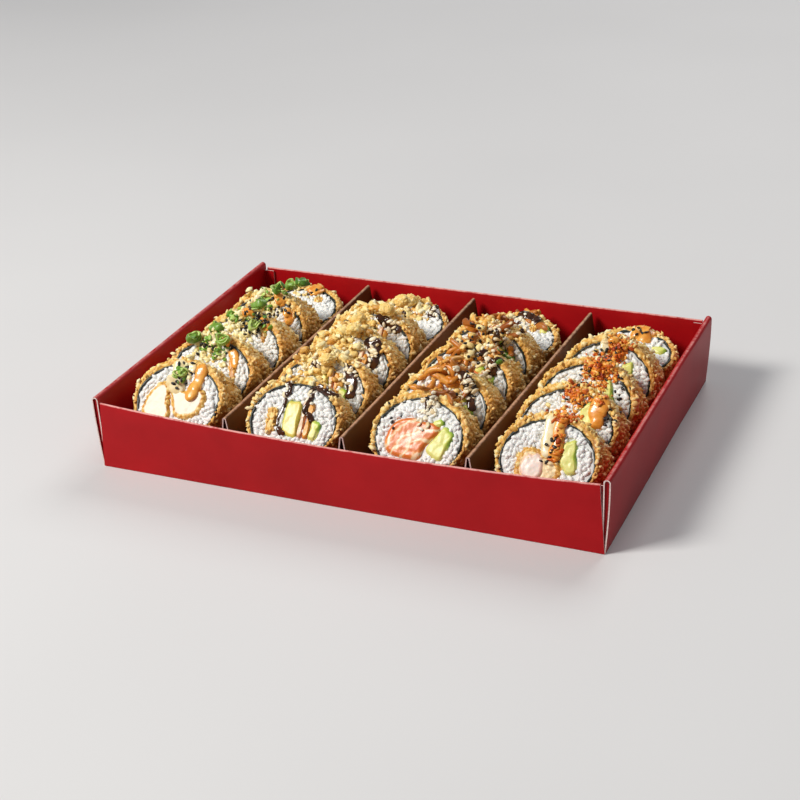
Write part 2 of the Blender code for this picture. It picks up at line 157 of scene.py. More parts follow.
# Lights by name: place, size in metres, power in watts and colour
LIGHTS = {
    "key": ((-0.95, -0.90, 1.25), 0.55, 33.0, (1.0, 0.97, 0.92)),
    "fill": ((1.40, -0.75, 0.90), 1.2, 0.3, (0.92, 0.95, 1.0)),
    "back": ((0.20, 1.30, 1.25), 0.9, 12.0, (1.0, 0.98, 0.95)),
}
LIGHT_AIM = (0.0, 0.0, 0.02)
SKY_STRENGTH = 0.17
FLOOR_REACH = 3.0
FLOOR_DROP = 0.0001

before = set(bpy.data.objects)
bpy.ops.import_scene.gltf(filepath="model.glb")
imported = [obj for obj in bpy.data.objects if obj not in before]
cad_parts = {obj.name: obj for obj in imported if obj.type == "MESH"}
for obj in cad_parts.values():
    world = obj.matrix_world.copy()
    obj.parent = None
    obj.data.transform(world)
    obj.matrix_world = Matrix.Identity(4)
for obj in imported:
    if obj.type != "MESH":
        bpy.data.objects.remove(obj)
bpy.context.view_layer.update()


def corners():
    """The shown object's lowest and highest corners, as plain lists."""
    low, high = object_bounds()
    return [list(low), list(high)]


# Noise


def scramble(cells, seed):
    """A number from 0 to 1 for each lattice cell: its whole numbers times large primes, mixed by shifts."""
    c = cells.astype(np.int64)
    h = (c[..., 0] * 73856093) ^ (c[..., 1] * 19349663) ^ (c[..., 2] * 83492791) ^ (seed * 2654435)
    h = ((h ^ (h >> 13)) * 1274126177) & 0x7FFFFFFFFFFF
    h = ((h ^ (h >> 16)) * 668265263) & 0x7FFFFFFFFFFF
    return ((h ^ (h >> 15)) & 0xFFFFFF) / float(0x1000000)


def ease(x):
    """Smooth step: 0 below 0, 1 above 1, and 3x^2 - 2x^3 between."""
    x = np.clip(x, 0.0, 1.0)
    return x * x * (3 - 2 * x)


def value_noise(points, step, seed):
    """Smooth noise from -1 to 1: the eight corner values of each lattice cell, blended by eased shares."""
    place = points / step
    base = np.floor(place)
    share = ease(place - base)
    total = np.zeros(len(points))
    for corner in np.ndindex(2, 2, 2):
        corner = np.array(corner)
        weight = np.prod(np.where(corner == 1, share, 1 - share), axis=1)
        total += weight * scramble(base + corner, seed)
    return 2 * total - 1


def cell_noise(points, step, seed):
    """Distances to the nearest and second nearest of one random point in each lattice cell, in steps,
    and a number from 0 to 1 that belongs to the nearest."""
    place = points / step
    base = np.floor(place)
    near = np.full(len(points), 9.0)
    second = np.full(len(points), 9.0)
    tag = np.zeros(len(points))
    for offset in np.ndindex(3, 3, 3):
        cell = base + (np.array(offset) - 1)
        spot = np.stack([scramble(cell, seed + k) for k in range(3)], axis=1)
        distance = np.linalg.norm(cell + spot - place, axis=1)
        closer = distance < near
        second = np.where(closer, near, np.minimum(second, distance))
        tag = np.where(closer, scramble(cell, seed + 3), tag)
        near = np.where(closer, distance, near)
    return near, second, tag


# Meshes


def grid_quads(rows, columns, wrap_rows=False, wrap_columns=False):
    """Quads of a grid of points numbered row by row; a wrapped side joins its last line to its first."""
    r = np.arange(rows if wrap_rows else rows - 1)
    c = np.arange(columns if wrap_columns else columns - 1)
    r, c = np.meshgrid(r, c, indexing="ij")
    r, c = r.ravel(), c.ravel()
    r2, c2 = (r + 1) % rows, (c + 1) % columns
    return np.stack([r * columns + c, r * columns + c2, r2 * columns + c2, r2 * columns + c], axis=1)


def grid_places(rows, columns):
    """The row and the column of each point of a grid numbered row by row."""
    return (values.ravel() for values in np.meshgrid(np.arange(rows), np.arange(columns), indexing="ij"))


def round_angles(count):
    """Evenly spaced angles of a whole turn."""
    return 2 * np.pi * np.arange(count) / count


class Shape:
    """Points and faces gathered part by part, to become one mesh."""

    def __init__(self):
        self.points = []
        self.faces = {4: [], 3: []}
        self.kinds = {4: [], 3: []}
        self.marks = {}
        self.count = 0

    def add(self, points, quads=None, triangles=None, kind=0, **marks):
        """Takes in a part: points, faces, the number of its material and each mark's value at the points."""
        for width, faces in ((4, quads), (3, triangles)):
            if faces is not None and len(faces):
                self.faces[width].append(np.asarray(faces) + self.count)
                self.kinds[width].append(np.full(len(faces), kind))
        self.points.append(points)
        for name, value in marks.items():
            self.marks.setdefault(name, []).append(np.broadcast_to(value, len(points)))
        self.count += len(points)

    def arrays(self):
        """All points, quads and triangles."""
        groups = [np.concatenate(self.faces[w]) if self.faces[w] else np.zeros((0, w), int) for w in (4, 3)]
        return np.concatenate(self.points), groups[0], groups[1]

    def take(self, part):
        """Takes in a closed part, its faces turned round if the volume they enclose comes out negative."""
        points, quads, triangles = part.arrays()
        corner = np.vstack([triangles, quads[:, :3], quads[:, [0, 2, 3]]])
        a, b, c = (points[corner[:, k]] - points.mean(axis=0) for k in range(3))
        way = -1 if np.sum(a * np.cross(b, c)) < 0 else 1
        for width in (4, 3):
            self.faces[width].extend(faces[:, ::way] + self.count for faces in part.faces[width])
            self.kinds[width].extend(part.kinds[width])
        self.points.extend(part.points)
        for name, values in part.marks.items():
            self.marks.setdefault(name, []).extend(values)
        self.count += part.count

    def piece(self, name, materials, slot=None, stands_for=()):
        """The mesh object, riding on the tray's one body."""
        points, quads, triangles = self.arrays()
        corner = np.concatenate([quads.ravel(), triangles.ravel()]).astype(np.int32)
        widths = np.concatenate([np.full(len(quads), 4), np.full(len(triangles), 3)])
        starts = (np.cumsum(widths) - widths).astype(np.int32)
        kinds = np.concatenate([k for w in (4, 3) for k in self.kinds[w]]).astype(np.int32)
        mesh = bpy.data.meshes.new(name)
        mesh.vertices.add(len(points))
        mesh.vertices.foreach_set("co", points.astype(np.float32).ravel())
        mesh.loops.add(len(corner))
        mesh.loops.foreach_set("vertex_index", corner)
        mesh.polygons.add(len(widths))
        mesh.polygons.foreach_set("loop_start", starts)
        mesh.polygons.foreach_set("use_smooth", np.ones(len(widths), bool))
        for material in materials:
            mesh.materials.append(material)
        mesh.polygons.foreach_set("material_index", kinds)
        mesh.update(calc_edges=True)
        mesh.validate()
        for mark, values in self.marks.items():
            attribute = mesh.attributes.new(mark, "FLOAT", "POINT")
            attribute.data.foreach_set("value", np.concatenate(values).astype(np.float32))
        body = bpy.data.objects.new(name, mesh)
        bpy.context.scene.collection.objects.link(body)
        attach(body, "root")
        if stands_for:
            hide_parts(*stands_for)
        return body


def tube_faces(rings, around):
    """Outward quads and end triangles of a tube whose points are its rings in order and two end points."""
    i = np.arange(around)
    j = (i + 1) % around
    first = rings * around
    last_ring = first - around
    caps = np.vstack([
        np.stack([i, j, np.full(around, first)], axis=1),
        np.stack([last_ring + j, last_ring + i, np.full(around, first + 1)], axis=1),
    ])
    return grid_quads(rings, around, wrap_columns=True)[:, ::-1], caps


def split_quads(quads):
    """Each quad as two triangles."""
    return np.vstack([quads[:, [0, 1, 2]], quads[:, [0, 2, 3]]])


def ball(around, stacks):
    """Points and triangles of a round ball of radius 1, with one point at each pole."""
    rise = np.pi * np.arange(1, stacks) / stacks
    r, t = np.meshgrid(rise, round_angles(around), indexing="ij")
    body = np.stack([np.sin(r) * np.cos(t), np.sin(r) * np.sin(t), np.cos(r)], axis=-1).reshape(-1, 3)
    quads, caps = tube_faces(stacks - 1, around)
    return np.vstack([body, [[0, 0, 1]], [[0, 0, -1]]]), np.vstack([split_quads(quads), caps])


def repeat_shape(base, faces, axes, places):
    """Copies of a base shape: each copy's three axes, with their lengths, are the rows of its matrix."""
    points = np.einsum("mk,nkj->nmj", base, axes) + places[:, None, :]
    shifted = faces[None, :, :] + (np.arange(len(places)) * len(base))[:, None, None]
    return points.reshape(-1, 3), shifted.reshape(-1, faces.shape[1])


def unit(vectors):
    """The vectors at length 1."""
    return vectors / np.maximum(np.linalg.norm(vectors, axis=-1, keepdims=True), 1e-12)


def surface_axes(normals, spin, rng, tilt=0.25):
    """Three axes for things lying on a surface: along, across and up, turned by spin and tilted a little."""
    up = unit(normals + tilt * rng.normal(size=normals.shape))
    guide = np.stack([np.cos(spin), np.sin(spin), np.zeros(len(spin))], axis=1)
    across = unit(np.cross(up, guide))
    along = np.cross(across, up)
    return along, across, up


def curve_point(a, b, c, d, f):
    """The Catmull-Rom curve of four points in a row, at a share f of the way from the second to the third."""
    return 0.5 * (2 * b + (c - a) * f + (2 * a - 5 * b + 4 * c - d) * f**2 + (3 * b - a - 3 * c + d) * f**3)


def smooth_line(points, count):
    """A smooth curve through the points, read at evenly spaced places."""
    points = np.asarray(points, float)
    ends = np.vstack([2 * points[0] - points[1], points, 2 * points[-1] - points[-2]])
    t = np.linspace(0, len(points) - 1, count)
    i = np.minimum(t.astype(int), len(points) - 2)
    return curve_point(ends[i], ends[i + 1], ends[i + 2], ends[i + 3], (t - i)[:, None])


def smooth_ring(points, count):
    """A closed smooth curve through the points, read at evenly spaced places."""
    points = np.asarray(points, float)
    t = np.linspace(0, len(points), count, endpoint=False)
    i = t.astype(int)
    a, b, c, d = (points[(i + k) % len(points)] for k in (-1, 0, 1, 2))
    return curve_point(a, b, c, d, (t - i)[:, None])


# Materials


def feed(tree, socket, value):
    """Links another node's socket to an input, or sets a plain value there."""
    if isinstance(value, bpy.types.NodeSocket):
        tree.links.new(value, socket)
    else:
        socket.default_value = value


def add(tree, kind, inputs=None, **settings):
    """A new shader node: its inputs are values or other nodes' sockets, and its settings are properties."""
    node = tree.nodes.new(kind)
    for key, value in settings.items():
        setattr(node, key, value)
    for key, value in (inputs or {}).items():
        feed(tree, node.inputs[key], value)
    return node


def maths(tree, operation, *values, clamp=False):
    """The result of a sum on plain values or other nodes' sockets."""
    node = add(tree, "ShaderNodeMath", dict(enumerate(values)), operation=operation, use_clamp=clamp)
    return node.outputs[0]


def colour(r, g, b):
    """A linear colour with full opacity."""
    return (r, g, b, 1.0)


def new_material(name, roughness, soft=None):
    """A Principled material, its tree and its shader.

    soft says how much light goes in and how far, in millimetres, for red, green and blue."""
    material = bpy.data.materials.new(name)
    material.use_nodes = True
    shader = material.node_tree.nodes["Principled BSDF"]
    shader.inputs["Roughness"].default_value = roughness
    if soft:
        shader.inputs["Subsurface Weight"].default_value = soft[0]
        shader.inputs["Subsurface Radius"].default_value = [depth * MM for depth in soft[1:]]
    return material, material.node_tree, shader


def ramp(tree, value, stops):
    """A colour ramp over a value: stops are (place, colour)."""
    node = add(tree, "ShaderNodeValToRGB", {"Fac": value})
    while len(node.color_ramp.elements) < len(stops):
        node.color_ramp.elements.new(0.5)
    for element, (place, tone) in zip(node.color_ramp.elements, stops):
        element.position = place
        element.color = tone
    return node.outputs["Color"]


def mark_value(tree, name):
    """The value of a mesh mark."""
    return add(tree, "ShaderNodeAttribute", attribute_name=name).outputs["Fac"]


def object_place(tree):
    """The place in the object's own space."""
    return add(tree, "ShaderNodeTexCoord").outputs["Object"]


def noise(tree, scale, detail=3.0, roughness=0.55):
    """Noise over the object's own space."""
    inputs = {"Vector": object_place(tree), "Scale": scale, "Detail": detail, "Roughness": roughness}
    return add(tree, "ShaderNodeTexNoise", inputs).outputs["Fac"]


def mix(tree, share, first, second):
    """Two colours mixed by a share."""
    return add(tree, "ShaderNodeMix", {0: share, 6: first, 7: second}, data_type="RGBA").outputs[2]


def new_group(name, inputs, outputs):
    """An empty node group with named inputs and outputs, each given as (name, type, value)."""
    group = bpy.data.node_groups.new(name, "ShaderNodeTree")
    for label, kind, value in inputs:
        socket = group.interface.new_socket(label, in_out="INPUT", socket_type="NodeSocket" + kind)
        if value is not None:
            socket.default_value = value
    for label, kind, _ in outputs:
        group.interface.new_socket(label, in_out="OUTPUT", socket_type="NodeSocket" + kind)
    return group, group.nodes.new("NodeGroupInput"), group.nodes.new("NodeGroupOutput")


def bump_group():
    """Fine bumps: noise over the object's space, as a normal."""
    group, start, end = new_group(
        "fine_bumps",
        [("Scale", "Float", 400.0), ("Strength", "Float", 0.2), ("Height", "Float", 0.0005)],
        [("Normal", "Vector", None)],
    )
    bump = add(group, "ShaderNodeBump", {
        "Strength": start.outputs["Strength"], "Distance": start.outputs["Height"],
        "Height": noise(group, start.outputs["Scale"], 4.0),
    })
    group.links.new(bump.outputs["Normal"], end.inputs["Normal"])
    return group


def fried_light_group():
    """Fried colour with painted light: by the crest value, from brown valleys in painted shade over gold to
    cream crests in painted highlight; darker where the toast value is high, which carries painted shade and
    random browning.
    """
    group, start, end = new_group(
        "fried_colour_painted_light",
        [("Crest", "Float", 0.5), ("Toast_and_shade", "Float", 0.0)],
        [("Color", "Color", None)],
    )
    # Painted light: brown valleys are painted shade and cream crests painted highlight.
    pale = ramp(group, start.outputs["Crest"], [
        (0.05, colour(0.440, 0.165, 0.022)),
        (0.24, colour(0.820, 0.450, 0.085)),
        (0.46, colour(0.960, 0.690, 0.230)),
        (0.76, colour(0.990, 0.880, 0.520)),
    ])
    dark = ramp(group, start.outputs["Crest"], [
        (0.05, colour(0.190, 0.045, 0.005)),
        (0.36, colour(0.600, 0.195, 0.018)),
        (0.64, colour(0.880, 0.410, 0.058)),
        (0.95, colour(0.960, 0.660, 0.190)),
    ])
    share = maths(group, "MULTIPLY_ADD", start.outputs["Toast_and_shade"], noise(group, 900.0, 2.0), -0.12, clamp=True)
    group.links.new(mix(group, share, pale, dark), end.inputs["Color"])
    return group


FINE_BUMPS = bump_group()
FRIED_LIGHT = fried_light_group()


def fried_lit_colour(tree, toast):
    """The fried colour with painted light at the crest mark, for a toast value that carries painted shade too.
    """
    inputs = {"Crest": mark_value(tree, "crest"), "Toast_and_shade": toast}
    return add(tree, "ShaderNodeGroup", inputs, node_tree=FRIED_LIGHT).outputs["Color"]


def finish_material(tree, shader, tone, scale, strength, height):
    """Gives a shader its colour and fine bumps."""
    feed(tree, shader.inputs["Base Color"], tone)
    inputs = {"Scale": scale, "Strength": strength, "Height": height}
    bumps = add(tree, "ShaderNodeGroup", inputs, node_tree=FINE_BUMPS)
    tree.links.new(bumps.outputs["Normal"], shader.inputs["Normal"])


def card_material(name, low, high, pale):
    """Satin laminated card with slight clouding, and a painted highlight in a pale colour along the folds."""
    material, tree, shader = new_material(name, 0.42)
    shader.inputs["Specular IOR Level"].default_value = 0.14
    tone = ramp(tree, noise(tree, 26.0, 5.0, 0.6), [(0.30, low), (0.72, high)])
    # Painted highlight: the pale colour is laid along the top folds where the fold mark is high, made patchy
    # by noise.
    fold_highlight_mask = maths(tree, "MULTIPLY", mark_value(tree, "fold"), noise(tree, 260.0, 4.0, 0.7))
    painted_fold_highlight = ramp(tree, fold_highlight_mask, [(0.24, colour(0, 0, 0)), (0.50, colour(0.85, 0.85, 0.85))])
    finish_material(tree, shader, mix(tree, painted_fold_highlight, tone, pale), 300.0, 0.10, 0.00025)
    return material


def raw_card_material():
    """The whitish core that shows at cut edges."""
    material, tree, shader = new_material("raw_card_core", 0.75)
    stops = [(0.3, colour(0.62, 0.42, 0.38)), (0.7, colour(0.85, 0.72, 0.68))]
    finish_material(tree, shader, ramp(tree, noise(tree, 1600.0), stops), 1500.0, 0.3, 0.0001)
    return material


def crust_material():
    """Fried panko crust, coloured with painted light from its crest and toast marks."""
    material, tree, shader = new_material("fried_crust", 0.50, (0.06, 1.8, 0.8, 0.3))
    shader.inputs["Specular IOR Level"].default_value = 0.45
    finish_material(tree, shader, fried_lit_colour(tree, mark_value(tree, "toast")), 1300.0, 0.5, 0.0003)
    return material


def nori_material():
    """Dark seaweed."""
    material, tree, shader = new_material("nori", 0.42)
    finish_material(tree, shader, colour(0.012, 0.018, 0.012), 900.0, 0.5, 0.0002)
    return material


def marked_material(name, mark, stops, roughness, bumps, soft=None):
    """A material whose colour runs over a mark of the mesh, with bumps of a scale, strength and height."""
    material, tree, shader = new_material(name, roughness, soft)
    tone = ramp(tree, mark_value(tree, mark), [(at, colour(*tone)) for at, tone in stops])
    finish_material(tree, shader, tone, *bumps)
    return material


def filling_material(name, stops, cloud=0.35, scale=260.0):
    """A moist filling whose colour runs from its edge, at 0, to its middle, at 1, with slight clouding."""
    material, tree, shader = new_material(name, 0.35, (0.15, 2.0, 1.0, 0.6))
    patch = maths(tree, "MULTIPLY_ADD", noise(tree, scale, 4.0), cloud, -0.5 * cloud)
    place = maths(tree, "ADD", patch, mark_value(tree, "inside"))
    finish_material(tree, shader, ramp(tree, place, stops), 700.0, 0.35, 0.0003)
    return material


def breaded_material(name, core, start, stop):
    """A filling in a fried coat: crust colours near the edge, with the crust's painted light from the crest
    mark, and the core's colour within.
    """
    material, tree, shader = new_material(name, 0.45, (0.10, 1.8, 1.0, 0.6))
    ragged = maths(tree, "MULTIPLY_ADD", noise(tree, 420.0, 4.0), 0.5, mark_value(tree, "inside"))
    share = ramp(tree, ragged, [(start, colour(0, 0, 0)), (stop, colour(1, 1, 1))])
    finish_material(tree, shader, mix(tree, share, fried_lit_colour(tree, 0.45), core), 800.0, 0.45, 0.0003)
    return material


def salmon_material():
    """Raw salmon: orange-pink with curved white lines of fat across it, as a sine over the grain mark."""
    material, tree, shader = new_material("salmon", 0.28, (0.2, 3.0, 1.2, 0.8))
    wave = maths(tree, "MULTIPLY_ADD", noise(tree, 130.0), 10.0, mark_value(tree, "grain"))
    tone = ramp(tree, maths(tree, "SINE", wave), [
        (0.00, colour(0.760, 0.200, 0.040)),
        (0.66, colour(0.880, 0.340, 0.085)),
        (0.95, colour(0.960, 0.700, 0.440)),
    ])
    finish_material(tree, shader, tone, 500.0, 0.3, 0.0003)
    return material


def glossy_material(name, low, high, roughness):
    """A thick glossy sauce, a little mottled."""
    material, tree, shader = new_material(name, roughness)
    shader.inputs["Coat Weight"].default_value = 0.35
    shader.inputs["Coat Roughness"].default_value = 0.12
    tone = ramp(tree, noise(tree, 330.0), [(0.35, low), (0.65, high)])
    finish_material(tree, shader, tone, 420.0, 0.2, 0.0004)
    return material


# Tray and dividers


def strip_sides(line, thickness):
    """The two sides of a card strip whose middle follows the line, offset along each corner's normal."""
    line = np.asarray(line, float)
    step = unit(np.diff(line, axis=0))
    into = np.vstack([step[:1], step])
    out = np.vstack([step, step[-1:]])
    along = unit(into + out)
    normal = np.stack([-along[:, 1], along[:, 0]], axis=1)
    stretch = 1 / np.maximum(np.sum(normal * np.stack([-out[:, 1], out[:, 0]], axis=1), axis=1), 0.5)
    reach = normal * (thickness / 2 * stretch)[:, None]
    return line + reach, line - reach


def card_strip(shape, line, thickness, place, drift_way, seed, fold=None):
    """A card strip carried along: place(outline, station) gives the points at a share of its length.

    The two sides are laminated, marked with how near they are to the top fold, and the
    four cut edges show the core. The card drifts a little along drift_way."""
    left, right = strip_sides(line, thickness)
    fold = np.zeros(len(left)) if fold is None else fold
    stations = np.linspace(0, 1, CARD_STATIONS)
    a, s = (values.ravel() for values in np.meshgrid(np.arange(len(left)), stations, indexing="ij"))
    sides = []
    for outline in (left, right):
        points = place(outline[a], s)
        drift = value_noise(points * np.array([1.0, 1.0, 1.6]), 0.034, seed)
        sides.append(points + CARD_WAVE * drift[:, None] * np.array([*drift_way, 0.0]))
    rows, columns = len(left), CARD_STATIONS
    part = Shape()
    quads = grid_quads(rows, columns)
    part.add(sides[0], quads, kind=0, fold=fold[a])
    part.add(sides[1], quads[:, ::-1], kind=0, fold=fold[a])
    across, along = np.arange(rows) * columns, np.arange(columns)
    last = (rows - 1) * columns
    for edge, way in ((across, 1), (across + columns - 1, -1), (along, -1), (along + last, 1)):
        cap = grid_quads(2, len(edge))[:, ::way]
        part.add(np.vstack([sides[0][edge], sides[1][edge]]), cap, kind=1, fold=0.0)
    shape.take(part)


def end_wall_line():
    """The folded end wall's card in (distance behind its outer face, height): up, round and down inside."""
    radius = (FOLDED_WALL - CARD) / 2
    turn = np.pi * np.arange(9) / 8
    middle = FOLDED_WALL / 2
    fold_foot = WALL_HEIGHT - middle
    rise = np.linspace(FOOT_LIFT, fold_foot, 10)[:-1]
    up = np.stack([np.full(len(rise), CARD / 2), rise], axis=1)
    arc = np.stack([middle - radius * np.cos(turn), fold_foot + radius * np.sin(turn)], axis=1)
    down = np.stack([np.full(len(rise), FOLDED_WALL - CARD / 2), rise[::-1]], axis=1)
    return np.vstack([up, arc, down])


def end_wall(name, side, materials):
    """The front or back wall: narrower at its top, which leans out and drops in the middle as a parabola.

    A tab at each end closes the hollow of the rolled side wall."""
    foot = TRAY_WIDTH / 2 - EDGE_LAP

    def place(outline, station):
        share = 2 * station - 1
        half = foot - END_WALL_TOP_INSET * outline[:, 1] / WALL_HEIGHT
        middle = (1 - share**2) * outline[:, 1] / WALL_HEIGHT
        return np.stack([
            share * half,
            side * (TRAY_DEPTH / 2 - outline[:, 0] + END_WALL_BOW * middle),
            outline[:, 1] - END_WALL_DIP * middle,
        ], axis=1)

    line = end_wall_line()
    shape = Shape()
    # The fold mark places the painted highlight along the top fold.
    fold = ease((line[:, 1] - WALL_HEIGHT + 0.60 * FOLDED_WALL) / (0.35 * FOLDED_WALL))
    card_strip(shape, line, CARD, place, (0.0, 1.0), 11 + side, fold)
    for end in (-1, 1):
        corner_tab(shape, side, end)
        corner_flap(shape, side, end)
    return shape.piece(name, materials, slot="red_card")


def corner_tab(shape, side, end):
    """A tab of card inside the hollow of a side wall, set back a little from its open end."""
    reach = TRAY_DEPTH / 2 - SIDE_END_SETBACK - CORNER_TAB_SETBACK
    radius = SIDE_FOLD_WIDTH / 2 - CARD
    fold_foot = SIDE_WALL_HEIGHT - SIDE_FOLD_WIDTH / 2
    rise = np.linspace(0.04 * fold_foot, fold_foot + 0.94 * radius, 22)
    line = np.stack([np.zeros(22), rise], axis=1)
    inner = TRAY_WIDTH / 2 + SIDE_WALL_BOW - SIDE_FOLD_WIDTH + CARD
    outer = TRAY_WIDTH / 2 - 1.6 * CARD

    def place(outline, station):
        bow = SIDE_WALL_BOW * np.sin(np.clip(outline[:, 1] / SIDE_WALL_HEIGHT, 0, 1) * np.pi / 2)
        narrow = np.sqrt(1 - np.clip((outline[:, 1] - fold_foot) / radius, 0, 0.99) ** 2)
        wide = np.maximum(outer + bow - inner, 0.0002)
        across = inner + wide * (0.5 + (station - 0.5) * narrow)
        return np.stack([end * across, side * (reach - outline[:, 0]), outline[:, 1]], axis=1)

    card_strip(shape, line, CARD, place, (0.0, 0.0), 91)


def corner_flap(shape, side, end):
    """A flap of card just inside an end wall's end, which closes the corner."""
    rise = np.linspace(BASE_THICKNESS + GAP, WALL_HEIGHT - FOLDED_WALL, 14)
    line = np.stack([np.zeros(14), rise], axis=1)
    edge = TRAY_WIDTH / 2 + SIDE_WALL_BOW - SIDE_FOLD_WIDTH
    reach = TRAY_DEPTH / 2 - FOLDED_WALL - CARD

    def place(outline, station):
        across = edge - CORNER_FLAP * (1 - station)
        return np.stack([end * across, side * (reach - outline[:, 0]), outline[:, 1]], axis=1)

    card_strip(shape, line, CARD, place, (0.0, 0.0), 92)


def side_wall_line():
    """The side wall's card in (distance from the centre, height): a bow outward, a roll-over and a panel."""
    foot = TRAY_WIDTH / 2 - CARD / 2
    radius = (SIDE_FOLD_WIDTH - CARD) / 2
    fold_foot = SIDE_WALL_HEIGHT - CARD / 2 - radius
    rise = np.linspace(0, 1, 17)
    bow = np.stack([
        foot + SIDE_WALL_BOW * np.sin(rise * np.pi / 2),
        FOOT_LIFT + rise * (fold_foot - FOOT_LIFT),
    ], axis=1)
    centre = foot + SIDE_WALL_BOW - radius
    turn = np.pi * np.arange(1, 15) / 14
    arc = np.stack([centre + radius * np.cos(turn), fold_foot + radius * np.sin(turn)], axis=1)
    down = np.linspace(0, 1, 9)[1:, None]
    panel = arc[-1] + down * (np.array([centre - radius - INNER_PANEL_LEAN, BASE_THICKNESS / 2]) - arc[-1])
    return np.vstack([bow, arc, panel])


def side_wall(name, side, materials):
    """The left or right wall, one card rolled over and open at its two ends."""
    reach = TRAY_DEPTH / 2 - SIDE_END_SETBACK

    def place(outline, station):
        return np.stack([side * outline[:, 0], (2 * station - 1) * reach, outline[:, 1]], axis=1)

    line = side_wall_line()
    shape = Shape()
    # The fold mark places the painted highlight along the top fold.
    fold = 0.62 * ease((line[:, 1] - SIDE_WALL_HEIGHT + 0.00065) / 0.0003)
    card_strip(shape, line, CARD, place, (1.0, 0.0), 21 + side, fold)
    return shape.piece(name, materials, slot="red_card")


def tray_base(materials):
    """The flat base, a thin slab."""
    half = TRAY_WIDTH / 2 - EDGE_LAP
    line = np.stack([np.linspace(-half, half, 24), np.full(24, BASE_THICKNESS / 2)], axis=1)
    reach = TRAY_DEPTH / 2 - EDGE_LAP

    def place(outline, station):
        return np.stack([outline[:, 0], (2 * station - 1) * reach, outline[:, 1]], axis=1)

    shape = Shape()
    card_strip(shape, line, BASE_THICKNESS, place, (0.0, 0.0), 31)
    return shape.piece("tray_base", materials, slot="red_card", stands_for=["tray"])


def divider(name, centre, shifts, materials, seed):
    """A card folded to an upside-down V with a rounded top and a flange along each foot, not quite square."""
    level = BASE_THICKNESS + GAP + CARD / 2
    peak = DIVIDER_HEIGHT - CARD / 2
    foot = DIVIDER_SPREAD / 2
    corners = np.array([
        [CARD, peak - CARD / 2],
        [DIVIDER_SHOULDER_HALF, peak - DIVIDER_SHOULDER_DROP],
        [foot, level],
        [foot + DIVIDER_FLANGE, level],
    ])
    share = np.linspace(0, 1, 8)[1:, None]
    side = [corners[:1]] + [a + share * (b - a) for a, b in zip(corners, corners[1:])]
    side = np.vstack(side)
    line = np.vstack([side[::-1] * np.array([-1.0, 1.0]), [[0.0, peak]], side])

    def place(outline, station):
        return np.stack([
            centre + shifts[0] + station * (shifts[1] - shifts[0]) + outline[:, 0],
            DIVIDER_FRONT + station * (DIVIDER_BACK - DIVIDER_FRONT),
            outline[:, 1],
        ], axis=1)

    shape = Shape()
    # The fold mark places the painted highlight along the top fold.
    fold = ease((line[:, 1] - peak + 0.0006) / 0.0005)
    card_strip(shape, line, CARD, place, (1.0, 0.0), seed, fold)
    return shape.piece(name + "_card", materials, slot="red_card", stands_for=[name])


# Rolls


class Roll:
    """One roll's size and frame, worked out as in the CAD source, and its place read from the CAD node."""

    def __init__(self, row, number):
        draw = random.Random(100 * row + number)
        self.name = "roll_%d_%d" % (row + 1, number + 1)
        self.row = row
        self.number = number
        self.seed = 100 * row + 10 * number
        self.half_width = ROLL_HALF_WIDTHS[number] * (1 + draw.uniform(-SIZE_SPREAD, SIZE_SPREAD))
        self.half_height = ROLL_HALF_HEIGHTS[number] * (1 + draw.uniform(-SIZE_SPREAD, SIZE_SPREAD))
        self.depth = ROLL_DEPTHS[number]
        change = ROW_LEAN_CHANGES[row] if number < LAST else 0.0
        lean = math.radians(ROLL_LEANS[number] + change + draw.uniform(-LEAN_SPREAD, LEAN_SPREAD))
        turn = math.radians(draw.uniform(-TURN_SPREAD, TURN_SPREAD))
        spin = Matrix.Rotation(turn, 3, "Z")
        self.axes = np.array([
            spin @ Vector((1, 0, 0)),
            spin @ Vector((0, math.sin(lean), math.cos(lean))),
            spin @ Vector((0, -math.cos(lean), math.sin(lean))),
        ])
        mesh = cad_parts[self.name].data
        points = np.zeros(len(mesh.vertices) * 3)
        mesh.vertices.foreach_get("co", points)
        points = points.reshape(-1, 3)
        reach = points @ self.axes[2]
        back = points[reach < reach.min() + FACE_SEARCH]
        middle = back[np.argmin(np.linalg.norm(back - back.mean(axis=0), axis=1))]
        self.centre = middle + self.axes[2] * self.depth

    def place(self, local):
        """Row-frame points from (across, upward, outward) in the roll's own frame."""
        return self.centre + local @ self.axes

    def uneven_oval(self, angle, half_width, half_height):
        """Points of an oval at the angles, a little out of true."""
        wave = 1 + 0.012 * np.sin(2 * angle + self.number) + 0.008 * np.sin(3 * angle + self.row)
        return np.stack([half_width * wave * np.cos(angle), half_height * wave * np.sin(angle)], axis=-1)

    def oval(self, angle):
        """The outer oval's points and outward directions at the angles, in the face plane."""
        normal = unit(np.stack([np.cos(angle) / self.half_width, np.sin(angle) / self.half_height], axis=-1))
        return self.uneven_oval(angle, self.half_width, self.half_height), normal

    def inner_oval(self, angle, share=1.0):
        """The seaweed's oval, which lies a little low in the crust."""
        half_width = share * INNER_WIDTH_SHARE * self.half_width
        half_height = share * INNER_HEIGHT_SHARE * self.half_height
        return self.uneven_oval(angle, half_width, half_height) - np.array([0.0, INNER_DROP])


